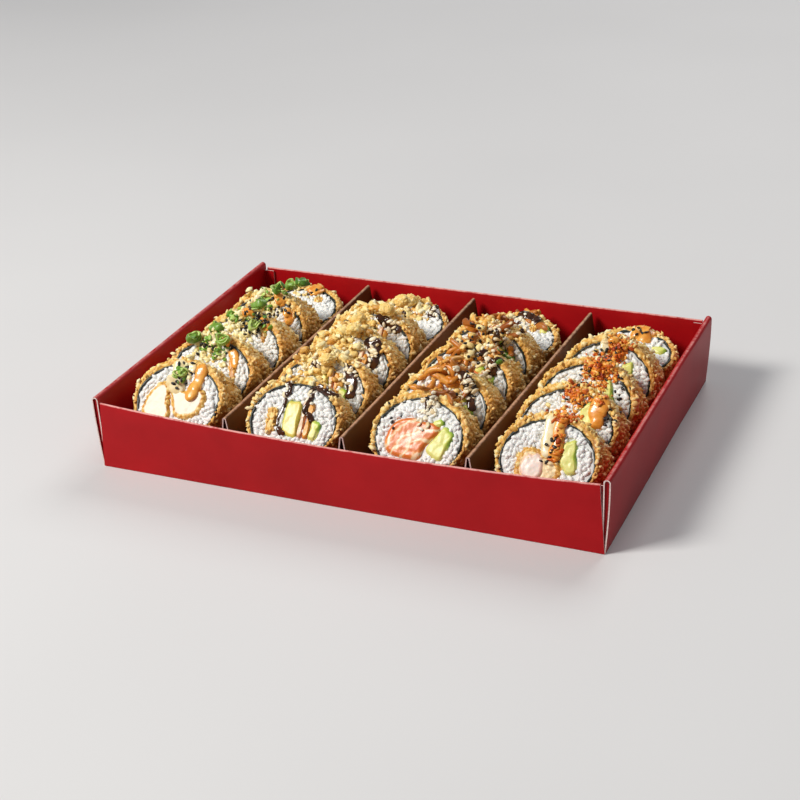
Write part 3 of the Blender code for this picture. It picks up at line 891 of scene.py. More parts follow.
def crust_profile(depth):
    """The crust's closed section as (inset, depth behind the face), its outward directions and relief shares.

    It runs from the inner front edge over a round rim, back along the outside, over
    the back rim and forward again inside."""
    turn = np.pi * np.arange(RIM_STEPS) / (RIM_STEPS - 1)
    along = np.linspace(RIM_RADIUS, depth - RIM_RADIUS, CRUST_ALONG)[1:-1]
    zero = np.zeros(len(along))
    front = np.stack([RIM_RADIUS * (1 + np.cos(turn)), RIM_RADIUS * (1 - np.sin(turn))], axis=1)
    outer = np.stack([zero, along], axis=1)
    back = np.stack([RIM_RADIUS * (1 - np.cos(turn)), depth - RIM_RADIUS * (1 - np.sin(turn))], axis=1)
    inside = np.array([[2 * RIM_RADIUS, depth - 3 * RIM_RADIUS], [2 * RIM_RADIUS, 3 * RIM_RADIUS]])
    points = np.vstack([front, outer, back, inside])
    normals = np.vstack([
        np.stack([np.cos(turn), -np.sin(turn)], axis=1),
        np.stack([zero - 1, zero], axis=1),
        np.stack([-np.cos(turn), np.sin(turn)], axis=1),
        [[1.0, 0.0], [1.0, 0.0]],
    ])
    relief = np.concatenate([
        ease(0.25 + turn / np.pi * 1.6), zero + 1, ease(0.25 + (np.pi - turn) / np.pi * 1.6), [0.0, 0.0],
    ])
    return points, normals, relief


def crumb_height(points, seed):
    """Height of the crumb coat from 0 to 1: flat-topped cells of two sizes, sunk seams and slow noise."""
    near, second, tag = cell_noise(points, CRUMB_CELL, seed)
    flake = (0.25 + 0.75 * tag) * ease((second - near) / 0.40)
    near, second, fine_tag = cell_noise(points, GRIT_CELL, seed + 7)
    grit = (0.3 + 0.7 * fine_tag) * ease((second - near) / 0.5)
    slow = 0.5 + 0.5 * value_noise(points, 0.006, seed + 11)
    return FLAKE_SHARE * flake + GRIT_SHARE * grit + SLOW_SHARE * slow


def make_crust(roll):
    """The crust of one roll on a grid of profile by angle, pushed out along its normal by the crumb height."""
    profile, normals, relief = crust_profile(roll.depth)
    angle = round_angles(CRUST_ROUND)
    p, a = grid_places(len(profile), CRUST_ROUND)
    edge, side = roll.oval(angle)
    to_inner = roll.inner_oval(angle) - edge

    def local(inset, behind):
        share = np.clip(inset / (2 * RIM_RADIUS), 0, 1) * np.sign(np.maximum(inset, 0))
        beyond = np.minimum(inset, 0)
        flat = edge[a] + to_inner[a] * share[:, None] - side[a] * beyond[:, None]
        return np.column_stack([flat, -behind])

    base = local(profile[p, 0], profile[p, 1])
    height = crumb_height(base + 0.37 * (roll.seed + 1), roll.seed)
    push = CRUMB_RELIEF * (height - CRUMB_LEVEL) * relief[p]
    points = roll.place(local(profile[p, 0] + normals[p, 0] * push, profile[p, 1] + normals[p, 1] * push))
    points[:, 2] = np.maximum(points[:, 2], BASE_THICKNESS + FOOT_LIFT)
    slow = value_noise(points, 0.011, 5)
    # Painted shade: the crust is made darker on the roll's bottom and right sides; the slow noise adds random
    # browning.
    shaded_side = ease(0.32 - 0.50 * side[a][:, 1] + 0.62 * side[a][:, 0])
    toast = np.clip(0.22 + 0.95 * shaded_side + 0.35 * slow, 0, 1.3)
    quads = grid_quads(len(profile), CRUST_ROUND, True, True)[:, ::-1]
    keep = (p >= RIM_STEPS // 3) & (p < len(profile) - 2 - RIM_STEPS // 3)
    outward = np.column_stack([
        -side[a] * normals[p, 0][:, None], -normals[p, 1],
    ]) @ roll.axes
    return {
        "points": points, "quads": quads, "crest": height, "toast": toast, "outer": keep, "normals": outward,
    }


def drum(roll, level):
    """A closed drum inside the crust: front face, side and back face, each face lumpy by elongated cells."""
    spread = np.linspace(0.03, 1, DRUM_RINGS)
    ring_share = np.concatenate([spread, [1.0], spread[::-1]])
    facing = np.repeat([1.0, 0.0, -1.0], [DRUM_RINGS, 1, DRUM_RINGS])
    behind = roll.depth / 2 - facing * (roll.depth / 2 - level)
    r, a = grid_places(len(ring_share), DRUM_ROUND)
    drop = np.array([0.0, -INNER_DROP])
    flat = drop + (roll.inner_oval(round_angles(DRUM_ROUND), 1.02) - drop)[a] * ring_share[r][:, None]
    local = np.column_stack([flat, -behind[r]])
    seed = 50 + roll.seed
    near, second, tag = cell_noise(local * np.array([1.0, 0.62, 1.0]) + 0.11 * (seed + 1), 0.0026, seed)
    lump = ease((second - near) / 0.6) * (0.4 + 0.6 * tag)
    local[:, 2] += DRUM_RELIEF * (lump - 0.5) * facing[r]
    poles = np.array([[0, -INNER_DROP, -level], [0, -INNER_DROP, level - roll.depth]])
    quads, caps = tube_faces(len(ring_share), DRUM_ROUND)
    return roll.place(np.vstack([local, poles])), quads, caps, np.concatenate([lump, [0.5, 0.5]])


def nori_ring(roll):
    """A thin dark band round the rice, its edge rising and falling so that it shows only in places."""
    around = 200
    angle = round_angles(around)
    _, side = roll.oval(angle)
    circle = np.column_stack([np.cos(angle), np.sin(angle), np.zeros(around)])
    wobble = 0.00035 * value_noise(circle * 6 + roll.seed, 1.0, 3)
    rise = 0.0004 + 0.0007 * value_noise(circle * 5 + roll.seed, 1.0, 9)
    thick = 0.00042 + 0.00026 * value_noise(circle * 9 + roll.seed, 1.0, 4)
    ring = roll.inner_oval(angle, 0.995) + side * wobble[:, None]
    section = ((-1, 0.0), (-0.7, -0.00012), (0.7, -0.00012), (1, 0.0))
    levels = [(across, -(rise + down)) for across, down in section]
    levels += [(across, np.full(around, -BAND_DEPTH)) for across in (1, -1)]
    loops = [np.column_stack([ring + side * (across * thick)[:, None], level]) for across, level in levels]
    return roll.place(np.vstack(loops)), grid_quads(len(loops), around, True, True)[:, ::-1]


FILLINGS = {
    "breaded_white": (0, [
        [(-18, -9), (-17.5, -2), (-14.5, 4), (-10, 7.5), (-6.5, 6), (-4.7, 1), (-3.4, -4), (-2, -9),
         (-5, -13), (-12, -13)],
        [(-5.0, 3.5), (0, 4.5), (7, 5), (12, 6.5), (14.6, 4), (14.5, -2), (11.5, -7), (5, -9.5), (0, -8.5),
         (-2.6, -4)],
    ]),
    "golden_piece": (0, []),
    "golden_strip": (1, [
        [(-13.8, 3), (-11.2, 4.3), (-8.5, 3), (-7.8, -3), (-8.5, -8.3), (-12.2, -8.8), (-13.5, -3)],
    ]),
    "ripe_slab": (1, [
        [(-4.2, 7.7), (-1.1, 8.4), (2.2, 8.3), (3, 3), (3, -4), (2.9, -9), (-1.5, -8.6), (-4.5, -6.3),
         (-5.2, 1.7)],
    ]),
    "pink_strip": (1, [
        [(3.8, 9), (6, 10.4), (6.2, 5), (5.8, -2), (5.5, -8.3), (3.6, -8.3), (3.5, -2), (3.6, 3)],
    ]),
    "orange_strip": (1, [
        [(6.7, 9), (9.2, 7.7), (9.1, 3), (8.8, -3), (8.5, -8.3), (6.3, -8.3), (6.5, -2), (6.6, 3)],
    ]),
    "avocado": (1, [
        [(9.5, 0.3), (11.9, 0.4), (14.2, -0.7), (13.8, -4.3), (12.2, -9), (9.1, -8.3), (9.3, -4)],
    ]),
    "salmon": (2, [
        [(-15.8, -5), (-14.5, 1), (-11.2, 5), (-5.2, 7), (2.2, 6.2), (7.4, 6.0), (9.6, 3.0), (6.5, -1.7),
         (3.7, -6.3), (2.2, -11.3), (-4.5, -12), (-11.2, -11.3), (-14.5, -9)],
    ]),
    "avocado_wedge": (2, [
        [(11.5, 5.3), (14.3, 4.2), (16.8, 2), (15.1, -3.7), (12.8, -10), (8.8, -9.7), (4.7, -6.3),
         (7.7, -0.3)],
        [(5.7, 7), (7.9, 8.2), (10.2, 8.3), (10.9, 6), (7.7, 4.2), (5.7, 5)],
    ]),
    "batter": (3, [
        [(-14.6, -5.3), (-14.0, -1.2), (-12.0, 2.6), (-7.8, 3.7), (-3.5, 3), (1.3, 0.7), (5.3, -1.3),
         (7.6, -4.7), (6.5, -10), (-3.5, -14), (-12.9, -11)],
    ]),
    "shrimp": (3, [
        [(-11.2, -3.0), (-9.4, 0.4), (-6.8, 0.2), (-4.8, 1.4), (-1.8, -0.4), (-0.6, -3.6), (-1.2, -9),
         (-4.6, -12), (-9.0, -11), (-11.6, -7.2)],
    ]),
    "avocado_slice": (3, [
        [(6.1, 6.7), (8.3, 8.4), (10.5, 9.5), (11.7, 8.3), (12.9, 2), (13.8, -4.3), (12.5, -6), (9.8, -6.3),
         (7.8, -4.3), (5.5, -1.7)],
    ]),
}
LIFTS = {"shrimp": 0.0006}

# Width of the fried coat from the edge and the height of its crumbs
CRUMBED = {
    "breaded_white": (0.0026, 0.0016),
    "golden_strip": (0.0060, 0.0020),
    "golden_piece": (0.0060, 0.0018),
    "batter": (0.0100, 0.0026),
}
SKIN_SIDE = {"avocado": (0.8, 0.6), "avocado_wedge": (0.85, 0.5), "avocado_slice": (0.9, 0.3)}

# What shows behind the first roll where it differs from the first: kind and outlines by (row, roll number)
OTHER_FILLINGS = {
    (0, 1): {"golden_piece": [
        [(8.6, 8.5), (11, 8), (13.6, 4), (14.6, -1), (12.6, -3.4), (10.4, 0), (8.8, 4)]]},
    (0, 2): {"golden_piece": [[(9.4, 12), (12, 11), (13.2, 7), (11.8, 4.4), (9.6, 6.6)]]},
    (0, 3): {"golden_piece": [
        [(8.6, 12.4), (11.4, 11.6), (12.8, 6), (12.4, 0), (10, -1.6), (8.4, 3), (9.6, 7.6)],
        [(13.4, 13), (15.6, 11.6), (16.2, 7), (14.6, 5.4), (13.6, 9)]]},
    (0, 4): {"golden_piece": [
        [(-1.4, 16), (2, 17), (5.6, 16), (6.4, 12.6), (3, 10), (-0.6, 11.8)],
        [(4.6, 9.8), (7.6, 10.4), (9.4, 8), (7.6, 5.2), (4.8, 6.6)]]},
    (1, 4): {"orange_strip": [[(-3, 9), (-1, 9.4), (0, 4), (-1.6, 2)]]},
    (2, 4): {
        "avocado_wedge": [[(10.6, 12.4), (13.6, 11.4), (15.4, 8), (13.4, 5), (11, 5.4), (9.8, 9)]],
        "golden_strip": [[(4.4, 13.6), (8.4, 13.8), (9.6, 9), (8.2, 5.2), (5.0, 6), (3.8, 10)]]},
    (3, 4): {"avocado_slice": [[(9.4, 5.6), (13.4, 6.2), (17.0, 4.2), (14.6, 0.8), (11, 1.4), (9, 3)]]},
}


def block(roll, outline, seed, lift, crumbed, skin_side=None):
    """A cut filling: a low rounded slab over a closed outline, with a fried coat where crumbed is given.

    Rings shrink from the outline to its middle, and the height rises from the
    buried edge to a softly uneven top."""
    around, rings = 96, 18
    ring = smooth_ring(np.array(outline) * MM, around)
    middle = ring.mean(axis=0)
    share = np.concatenate([[1.0, 1.0], np.linspace(0.985, 0.03, rings - 2)])
    r, a = grid_places(rings, around)
    flat = middle + (ring[a] - middle) * share[r][:, None]
    behind = np.where(r == 0, BLOCK_DEPTH, np.where(r == 1, 0.0016, 0.0))
    reach = np.linalg.norm(ring[a] - middle, axis=1) * (1 - share[r])
    dome = np.where(r > 1, 0.0011 - 0.0016 * np.sqrt(np.clip(reach / 0.0014, 0, 1)), behind)
    local = np.column_stack([flat, -dome])
    sample = local + 0.21 * (seed + 1)
    uneven = 0.00022 * value_noise(sample, 0.004, seed) + 0.00010 * value_noise(sample, 0.0014, seed + 1)
    height = np.zeros(len(local))
    if crumbed:
        coat, relief = crumbed
        edge = 1 - ease((reach - 0.4 * coat) / (0.6 * coat))
        height = crumb_height(sample, seed)
        uneven = uneven + relief * (height - 0.35) * edge
        pull = 0.0010 * (height - 0.5) * (1 - ease(reach / 0.003))
        local[:, :2] += unit(flat - middle) * pull[:, None]
    local[:, 2] += (uneven + lift) * (r > 0)
    ends = np.array([[*middle, -BLOCK_DEPTH], [*middle, local[r == rings - 1, 2].mean()]])
    quads, caps = tube_faces(rings, around)
    inside = np.clip(reach / 0.004, 0, 1)
    if skin_side is not None:
        toward = np.clip(unit(flat - middle) @ np.array(skin_side) + 0.15, 0, 1)
        inside = 1 - (1 - inside) * toward
    marks = {
        "inside": np.concatenate([inside, [0.0, 1.0]]),
        "grain": np.concatenate([np.hypot(local[:, 0] - 0.006, local[:, 1] + 0.014) / 0.00078, [0.0, 0.0]]),
        "crest": np.concatenate([height, [0.5, 0.5]]),
    }
    return roll.place(np.vstack([local, ends])), quads, caps, marks


def roll_outlines(roll):
    """Every filling outline of the roll's row, turned and shrunk a little for the rolls behind the first."""
    draw = random.Random(700 + 10 * roll.row + roll.number)
    turn = 0.0 if roll.number == 0 else math.radians(draw.uniform(-22, 22))
    scale = 1.0 if roll.number == 0 else 0.93
    shift = (0.0, 0.0) if roll.number == 0 else (draw.uniform(-1, 1), draw.uniform(0, 2))
    found = dict(OTHER_FILLINGS.get((roll.row, roll.number), {}))
    if found:
        return found
    for kind, (row, outlines) in FILLINGS.items():
        if row == roll.row:
            found[kind] = [
                [(scale * (x * math.cos(turn) - y * math.sin(turn)) + shift[0],
                  scale * (x * math.sin(turn) + y * math.cos(turn)) + shift[1]) for x, y in outline]
                for outline in outlines
            ]
    return found


def inside_any(points, outlines, margin):
    """Which flat points lie within the outlines, each widened by a margin from its middle."""
    found = np.zeros(len(points), bool)
    for outline in outlines:
        ring = np.array(outline) * MM
        middle = ring.mean(axis=0)
        ring = middle + (ring - middle) * (1 + margin / np.linalg.norm(ring - middle, axis=1))[:, None]
        crossings = np.zeros(len(points), int)
        for (x1, y1), (x2, y2) in zip(ring, np.roll(ring, -1, axis=0)):
            spans = (y1 > points[:, 1]) != (y2 > points[:, 1])
            at = x1 + (points[:, 1] - y1) / (y2 - y1 if y2 != y1 else 1e-9) * (x2 - x1)
            crossings += spans & (points[:, 0] < at)
        found |= crossings % 2 == 1
    return found


def grain_places(roll, outlines):
    """Jittered hexagonal places for the rice grains in the cut face, outside the fillings."""
    rng = np.random.default_rng(300 + roll.seed)
    count = int(0.05 / GRAIN_SPACING)
    i, j = np.meshgrid(np.arange(count), np.arange(count), indexing="ij")
    flat = np.column_stack([
        (i.ravel() + 0.5 * (j.ravel() % 2)) * GRAIN_SPACING - 0.025,
        j.ravel() * GRAIN_SPACING * 0.87 - 0.022,
    ])
    flat = flat + rng.uniform(-0.38, 0.38, flat.shape) * GRAIN_SPACING
    across = flat[:, 0] / (INNER_WIDTH_SHARE * roll.half_width)
    upward = (flat[:, 1] + INNER_DROP) / (INNER_HEIGHT_SHARE * roll.half_height)
    flat = flat[np.hypot(across, upward) < 0.94]
    flat = flat[~inside_any(flat, outlines, 0.0006)]
    return flat, rng


def add_grains(shape, roll, outlines, base, faces, level):
    """Rice grains lying in a cut face at a level, most of them flat, each with its own turn and size."""
    flat, rng = grain_places(roll, outlines)
    count = len(flat)
    field = value_noise(np.column_stack([flat, np.zeros(count)]) + roll.seed, 0.006, 17)
    turn = 2.2 * field + rng.uniform(-0.9, 0.9, count)
    tilt = rng.normal(0, 0.30, count)
    long_axis = np.column_stack([np.cos(turn) * np.cos(tilt), np.sin(turn) * np.cos(tilt), np.sin(tilt)])
    side_axis = unit(np.cross(np.array([0, 0, 1.0]), long_axis))
    up_axis = np.cross(long_axis, side_axis)
    scale = rng.uniform(0.86, 1.12, (count, 1))
    axes = np.stack([
        long_axis * scale * GRAIN_LENGTH / 2,
        side_axis * scale * GRAIN_WIDTH / 2 * rng.uniform(0.9, 1.1, (count, 1)),
        up_axis * scale * GRAIN_WIDTH / 2,
    ], axis=1)
    local = np.column_stack([flat, level + rng.uniform(-0.0003, 0.0004, count)])
    points, triangles = repeat_shape(base, faces, axes @ roll.axes, roll.place(local))
    shape.add(points, triangles=triangles, shade=np.repeat(rng.uniform(0, 1, count), len(base)))


def eye_place():
    """The camera's place and its three axes."""
    turn, rise, roll = (math.radians(v) for v in (CAMERA_TURN, CAMERA_HEIGHT, CAMERA_ROLL))
    right = Vector((math.cos(turn), math.sin(turn), 0))
    back = Vector((math.sin(turn) * math.cos(rise), -math.cos(turn) * math.cos(rise), math.sin(rise)))
    up = back.cross(right)
    x = right * math.cos(roll) + up * math.sin(roll)
    y = up * math.cos(roll) - right * math.sin(roll)
    return Vector(CAMERA_AIM) + back * CAMERA_DISTANCE, x, y, back


EYE, EYE_X, EYE_Y, EYE_BACK = eye_place()


class Ground:
    """What the toppings lie on, searched by rays. It grows as they pile up."""

    def __init__(self, meshes):
        self.trees = []
        self.add(meshes)

    def add(self, meshes):
        """Takes in meshes, each given as points, quads and triangles."""
        points = []
        faces = []
        for found, quads, triangles in meshes:
            faces.extend((quads + len(points)).tolist())
            faces.extend((triangles + len(points)).tolist())
            points.extend(found.tolist())
        self.trees.append(BVHTree.FromPolygons(points, faces))

    def cast(self, starts, ways):
        """The nearest hit of each ray that meets a surface from outside: places, normals and which rays."""
        places, normals, kept = [], [], []
        for i, (start, way) in enumerate(zip(starts, ways)):
            way = Vector(way)
            hits = [tree.ray_cast(Vector(start), way) for tree in self.trees]
            hits = [hit for hit in hits if hit[0] is not None]
            if hits:
                place, normal, _, _ = min(hits, key=lambda hit: hit[3])
                if normal.dot(way) < -0.05:
                    places.append(place)
                    normals.append(normal)
                    kept.append(i)
        return np.array(places).reshape(-1, 3), np.array(normals).reshape(-1, 3), np.array(kept, int)

    def seen(self, roll, readings):
        """Where the sight lines through face-plane readings, in millimetres, first meet the food."""
        readings = np.asarray(readings, float)
        aims = roll.place(np.column_stack([readings * MM, np.zeros(len(readings))]))
        return self.cast([EYE] * len(aims), unit(aims - np.array(EYE)))

    def strewn(self, roll, spots):
        """Where things land that are strewn over a roll at (across, along) spots in millimetres.

        Along runs up the cut face and, past the top rim, back over the crust."""
        across, along = spots[:, 0] * MM, spots[:, 1] * MM
        over = np.clip(along - roll.half_height, 0, None)
        on_face = over == 0
        upward = np.where(on_face, along, roll.half_height + STREW_HEIGHT)
        outward = np.where(on_face, STREW_HEIGHT, -over)
        starts = roll.place(np.column_stack([across, upward, outward]))
        ways = np.where(on_face[:, None], -roll.axes[2], -roll.axes[1])
        return self.cast(starts, ways)


def add_ribbon(shape, ground, roll, readings, half_width, height, uneven, seed):
    """Thick sauce along a line of readings, in separate runs where the food below it steps back."""
    line, normals, _ = ground.seen(roll, smooth_line(readings, 40))
    step = np.linalg.norm(np.diff(line, axis=0), axis=1)
    for run in np.split(np.arange(len(line)), np.nonzero(step > SAUCE_BREAK)[0] + 1):
        if len(run) > 5:
            add_run(shape, line[run], normals[run], half_width, height, uneven, seed)


def smoothed(values, reach):
    """Each row as the mean of its neighbours within reach, the end rows repeated past the ends."""
    wide = np.vstack([np.repeat(values[:1], reach, axis=0), values, np.repeat(values[-1:], reach, axis=0)])
    window = np.ones(2 * reach + 1) / (2 * reach + 1)
    return np.stack([np.convolve(wide[:, k], window, "valid") for k in range(3)], axis=1)


def add_run(shape, line, normals, half_width, height, uneven, seed):
    """One run of sauce: a flattened round section carried along its draped line, tapered at both ends."""
    line = smoothed(line, 2)
    normals = unit(smoothed(normals, 7))
    count = 48
    path = smooth_line(line, count)
    up = unit(smooth_line(normals, count))
    along = unit(np.gradient(path, axis=0))
    side = unit(np.cross(along, up))
    up = np.cross(side, along)
    run = np.concatenate([[0], np.cumsum(np.linalg.norm(np.diff(path, axis=0), axis=1))])
    end = np.minimum(run, run[-1] - run)
    taper = np.sqrt(np.clip(1 - (1 - np.clip(end / (1.1 * half_width), 0, 1)) ** 2, 0.0004, 1))
    around = 18
    turn = round_angles(around)
    wide = half_width * np.cos(turn)
    bulge = np.abs(np.sin(turn)) ** 0.75 * np.sign(np.sin(turn))
    tall = np.where(bulge > 0, height * bulge, 0.6 * height * bulge)
    t, r = np.meshgrid(turn, run, indexing="xy")
    key = np.stack([r / 0.0042, 0.9 * np.cos(t), 0.9 * np.sin(t) + seed], axis=-1).reshape(-1, 3)
    swell = 1 + uneven * value_noise(key, 1.0, seed).reshape(count, around)
    grow = (taper[:, None] * swell)[:, :, None]
    points = (
        path[:, None, :]
        + side[:, None, :] * wide[None, :, None] * grow
        + up[:, None, :] * (tall[None, :, None] * grow + 0.25 * height * taper[:, None, None])
    ).reshape(-1, 3)
    ends = np.vstack([path[:1], path[-1:]])
    shape.add(np.vstack([points, ends]), *tube_faces(count, around))


# Sauce lines as (row, roll number, half width, height, readings in that roll's face plane), in millimetres
PALE_SAUCE = (
    (0, 0, 4.2, 1.4, [(-3.0, 20.6), (-2.6, 16), (-3.0, 11), (-3.0, 7.8), (-1.2, 5.4), (2.4, 4.6)]),
    (0, 0, 2.6, 1.1, [(2.6, 19), (3.0, 15.5), (2.6, 12)]),
    (0, 1, 2.6, 1.0, [(-6, 18), (-3, 16), (0, 14)]),
    (0, 3, 2.6, 1.0, [(-9, 15.5), (-5, 13), (-2, 11)]),
    (3, 0, 3.0, 1.4, [(-1.6, 20.6), (-1.4, 17), (-1.2, 12.7), (-1.2, 7.3), (-1.0, 2.6), (-0.2, -0.8)]),
    (3, 3, 2.6, 1.1, [(-3.0, 18.5), (-2.2, 15), (-2.4, 11)]),
)
MAYO = (
    (0, 0, 3.2, 1.5, [(8.7, 20.5), (9.0, 16), (8.8, 10.7), (8.0, 6), (6.2, 2.8), (3.2, 1.8)]),
    (0, 1, 2.3, 1.0, [(4.5, 20), (5.3, 16.5), (5.6, 13)]),
    (0, 1, 2.2, 0.9, [(9, 13), (11.5, 9), (13.0, 3.6)]),
    (0, 2, 2.4, 1.0, [(-3, 17.5), (0.5, 19), (4.5, 17.5)]),
    (0, 2, 2.3, 0.9, [(8, 17), (11, 14), (12.5, 10)]),
    (0, 3, 2.8, 1.1, [(3.5, 19.5), (6, 16.5), (8.2, 12.5)]),
    (0, 3, 2.9, 1.0, [(9.6, 11), (12.5, 8), (12.5, 3.0)]),
    (0, 4, 4.4, 1.5, [(-1.6, 16.2), (2.2, 14.5), (5.2, 11.6)]),
    (3, 0, 3.0, 1.6, [(3.0, 20.6), (2.6, 17), (2.6, 12.5), (3.2, 7.3), (3.4, 2.5), (1.6, -1.6)]),
    (3, 1, 2.8, 1.0, [(-1.0, 16.5), (2.4, 14.5), (5.0, 12.0)]),
    (3, 1, 3.7, 1.6, [(17.0, 17.5), (14.6, 13.0), (12.9, 7.6), (13.7, 2.4), (13.2, -1.4)]),
    (3, 2, 3.2, 1.0, [(-1.5, 15.5), (3, 14), (7, 11.5)]),
    (3, 2, 2.8, 1.1, [(4, 17.5), (8, 18), (11, 15.5)]),
    (3, 3, 3.0, 1.3, [(0.6, 19.5), (1.8, 16), (4.2, 12), (3.4, 8.6)]),
    (3, 4, 4.4, 1.4, [(-4.0, 12.0), (0.0, 13.4), (4.5, 12.6), (7.8, 10.6)]),
)
DARK_SAUCE = (
    (2, 0, 3.2, 0.95, [(3.8, 18.5), (2.6, 15), (1.4, 11)]),
    (2, 1, 3.1, 0.7, [(7.0, 15.0), (11.0, 12.5), (14.0, 9.5)]),
    (2, 3, 3.4, 0.7, [(-1.0, 14.0), (3.5, 13.0), (8.0, 12.0)]),
    (1, 0, 1.6, 0.9, [(-6.7, 17), (-4.8, 12.8), (-5.8, 9.4)]),
    (1, 0, 0.8, 0.6, [(-5.8, 9.4), (-6.1, 4), (-7.3, -1.4), (-6.8, -5.0)]),
    (1, 0, 1.8, 0.8, [(-7.0, -5.2), (-4.2, -7.0), (-2.2, -7.4)]),
    (1, 0, 1.3, 0.7, [(6, 16), (6.8, 11), (4.8, 5), (7.2, 2.8), (10, -0.8)]),
    (1, 0, 1.4, 0.7, [(6, 16), (11.4, 14.8), (16, 14), (20.8, 13.2)]),
    (1, 1, 3.0, 1.0, [(11.5, 14), (13.6, 9), (14.6, 3), (15.6, -3)]),
    (1, 1, 1.6, 0.8, [(-2.6, 0.8), (4, 1.2), (8.5, -0.6), (13, -3.2)]),
    (1, 1, 1.3, 0.7, [(-8, 12.6), (-5, 12), (-1.5, 14.6)]),
    (1, 2, 3.4, 1.0, [(7.5, 15.5), (11, 11), (12.6, 5.5), (13.2, 0)]),
    (1, 2, 1.5, 0.7, [(12.5, 15.5), (15.3, 12), (15.8, 8)]),
    (1, 3, 3.1, 1.0, [(3, 16.5), (7, 13), (12, 11), (16, 8)]),
    (1, 4, 2.9, 0.9, [(9, 15.5), (12, 11), (13.5, 6)]),
    (1, 4, 1.7, 0.8, [(-4.5, 8.5), (-2, 3)]),
    (2, 1, 1.9, 0.8, [(5.5, 18.5), (9, 14), (12.4, 9.6), (13.6, 5), (15, 0)]),
    (2, 2, 3.0, 0.9, [(6, 17.5), (10, 13), (13, 9), (15, 5)]),
    (2, 3, 3.2, 1.0, [(1.5, 15.5), (5, 11), (7, 6), (7.6, -0.5)]),
    (2, 4, 3.1, 1.0, [(-4.5, 15), (1, 16), (5, 14), (7.2, 10.6)]),
    (2, 4, 1.6, 0.7, [(-3, 11), (0, 6), (3, 2)]),
)


def sauce_piece(name, lines, ground, rolls, material, uneven):
    """All lines of one sauce as one piece."""
    shape = Shape()
    for i, (row, number, half_width, height, readings) in enumerate(lines):
        add_ribbon(shape, ground, rolls[row][number], readings, half_width * MM, height * MM, uneven, 40 + i)
    shape.piece(name, [material])
    return shape.arrays()


def rough_copies(base, faces, axes, places, seed, amount):
    """Copies of a base shape, each with its own uneven form: every point moves in or out by lattice noise."""
    points = np.einsum("mk,nkj->nmj", base, axes)
    which = np.repeat(np.arange(len(places)), len(base)).astype(float)
    key = np.tile(base, (len(places), 1)) * 1.7 + which[:, None] * 7.31
    grow = 1 + amount * value_noise(key, 0.8, seed)
    points = points.reshape(-1, 3) * grow[:, None] + np.repeat(places, len(base), axis=0)
    shifted = faces[None, :, :] + (np.arange(len(places)) * len(base))[:, None, None]
    return points, shifted.reshape(-1, 3)


def scatter(shape, found, rng, form, sizes, sink, seed, rough, tilt):
    """Small things of (length, width, thickness) ranges lying where rays met the ground, and their mesh."""
    places, normals, _ = found
    base, faces = form
    count = len(places)
    along, across, up = surface_axes(normals, rng.uniform(0, 2 * np.pi, count), rng, tilt)
    low, high = np.array(sizes[0]) * MM / 2, np.array(sizes[1]) * MM / 2
    half = (low + (high - low) * rng.uniform(0, 1, (count, 1)) ** 1.6) * rng.uniform(0.8, 1.2, (count, 3))
    axes = np.stack([along * half[:, :1], across * half[:, 1:2], up * half[:, 2:]], axis=1)
    points, triangles = rough_copies(base, faces, axes, places + up * half[:, 2:] * sink, seed, rough)
    shape.add(points, triangles=triangles, shade=np.repeat(rng.uniform(0, 1, count), len(base)))
    return points, np.zeros((0, 4), int), triangles


def bent_strip(sides, stations, bend):
    """Points and triangles of a thin rod of length 2 along x, bent as a parabola and pointed at its ends."""
    along = np.linspace(-1, 1, stations)
    a, t = np.meshgrid(along, round_angles(sides), indexing="ij")
    thick = np.sqrt(np.clip(1 - a**8, 0.02, 1))
    points = np.stack([a, np.cos(t) * thick + bend * a**2, np.sin(t) * thick], axis=-1).reshape(-1, 3)
    quads, caps = (faces[:, ::-1] for faces in tube_faces(stations, sides))
    return np.vstack([points, [[-1, bend, 0]], [[1, bend, 0]]]), np.vstack([split_quads(quads), caps])


SCALLION_SINK = 0.0010

# Each scallion bit: tilt and turn in degrees, and how pale it is
SCALLION_LIES = (
    (62, 10, 0.75), (70, 60, 0.15), (-66, -20, 0.25), (58, 30, 0.50), (74, 80, 0.85),
    (-60, 15, 0.30), (72, -35, 0.10), (55, 70, 0.35), (-70, 20, 0.0),
)


def leaf_ring(radius, wall, length, opening, index):
    """A slice of hollow leaf, crumpled and cut open by an opening angle: its section is a round-edged wall.

    The ring's radius waves with two and three lobes, its height with two, and the wall
    thins to nothing at both ends of the opening."""
    around, section = 64, 12
    turn = np.linspace(opening / 2, 2 * np.pi - opening / 2, around)
    a, s = np.meshgrid(turn, round_angles(section), indexing="ij")
    share = np.abs(a - np.pi) / (np.pi - opening / 2)
    thin = np.sqrt(np.clip(1 - share**10, 0.01, 1))
    wave = 1 + 0.16 * np.sin(2 * a + 1.7 * index) + 0.10 * np.sin(3 * a + 2.3 * index)
    corner = np.abs(np.cos(s)) ** 0.6 * np.sign(np.cos(s))
    rise = np.abs(np.sin(s)) ** 0.5 * np.sign(np.sin(s))
    r = radius * wave + wall / 2 * corner * thin
    z = length / 2 * rise * thin * (1 + 0.25 * np.sin(2 * a + index))
    z += 0.22 * length * np.sin(2 * a + 0.9 * index)
    points = np.stack([r * np.cos(a), 0.86 * r * np.sin(a), z], axis=-1).reshape(-1, 3)
    ends = np.vstack([points[:section].mean(axis=0), points[-section:].mean(axis=0)])
    skin = np.concatenate([ease(0.5 + 0.9 * corner.ravel()), [0.5, 0.5]])
    return np.vstack([points, ends]), *tube_faces(around, section), skin


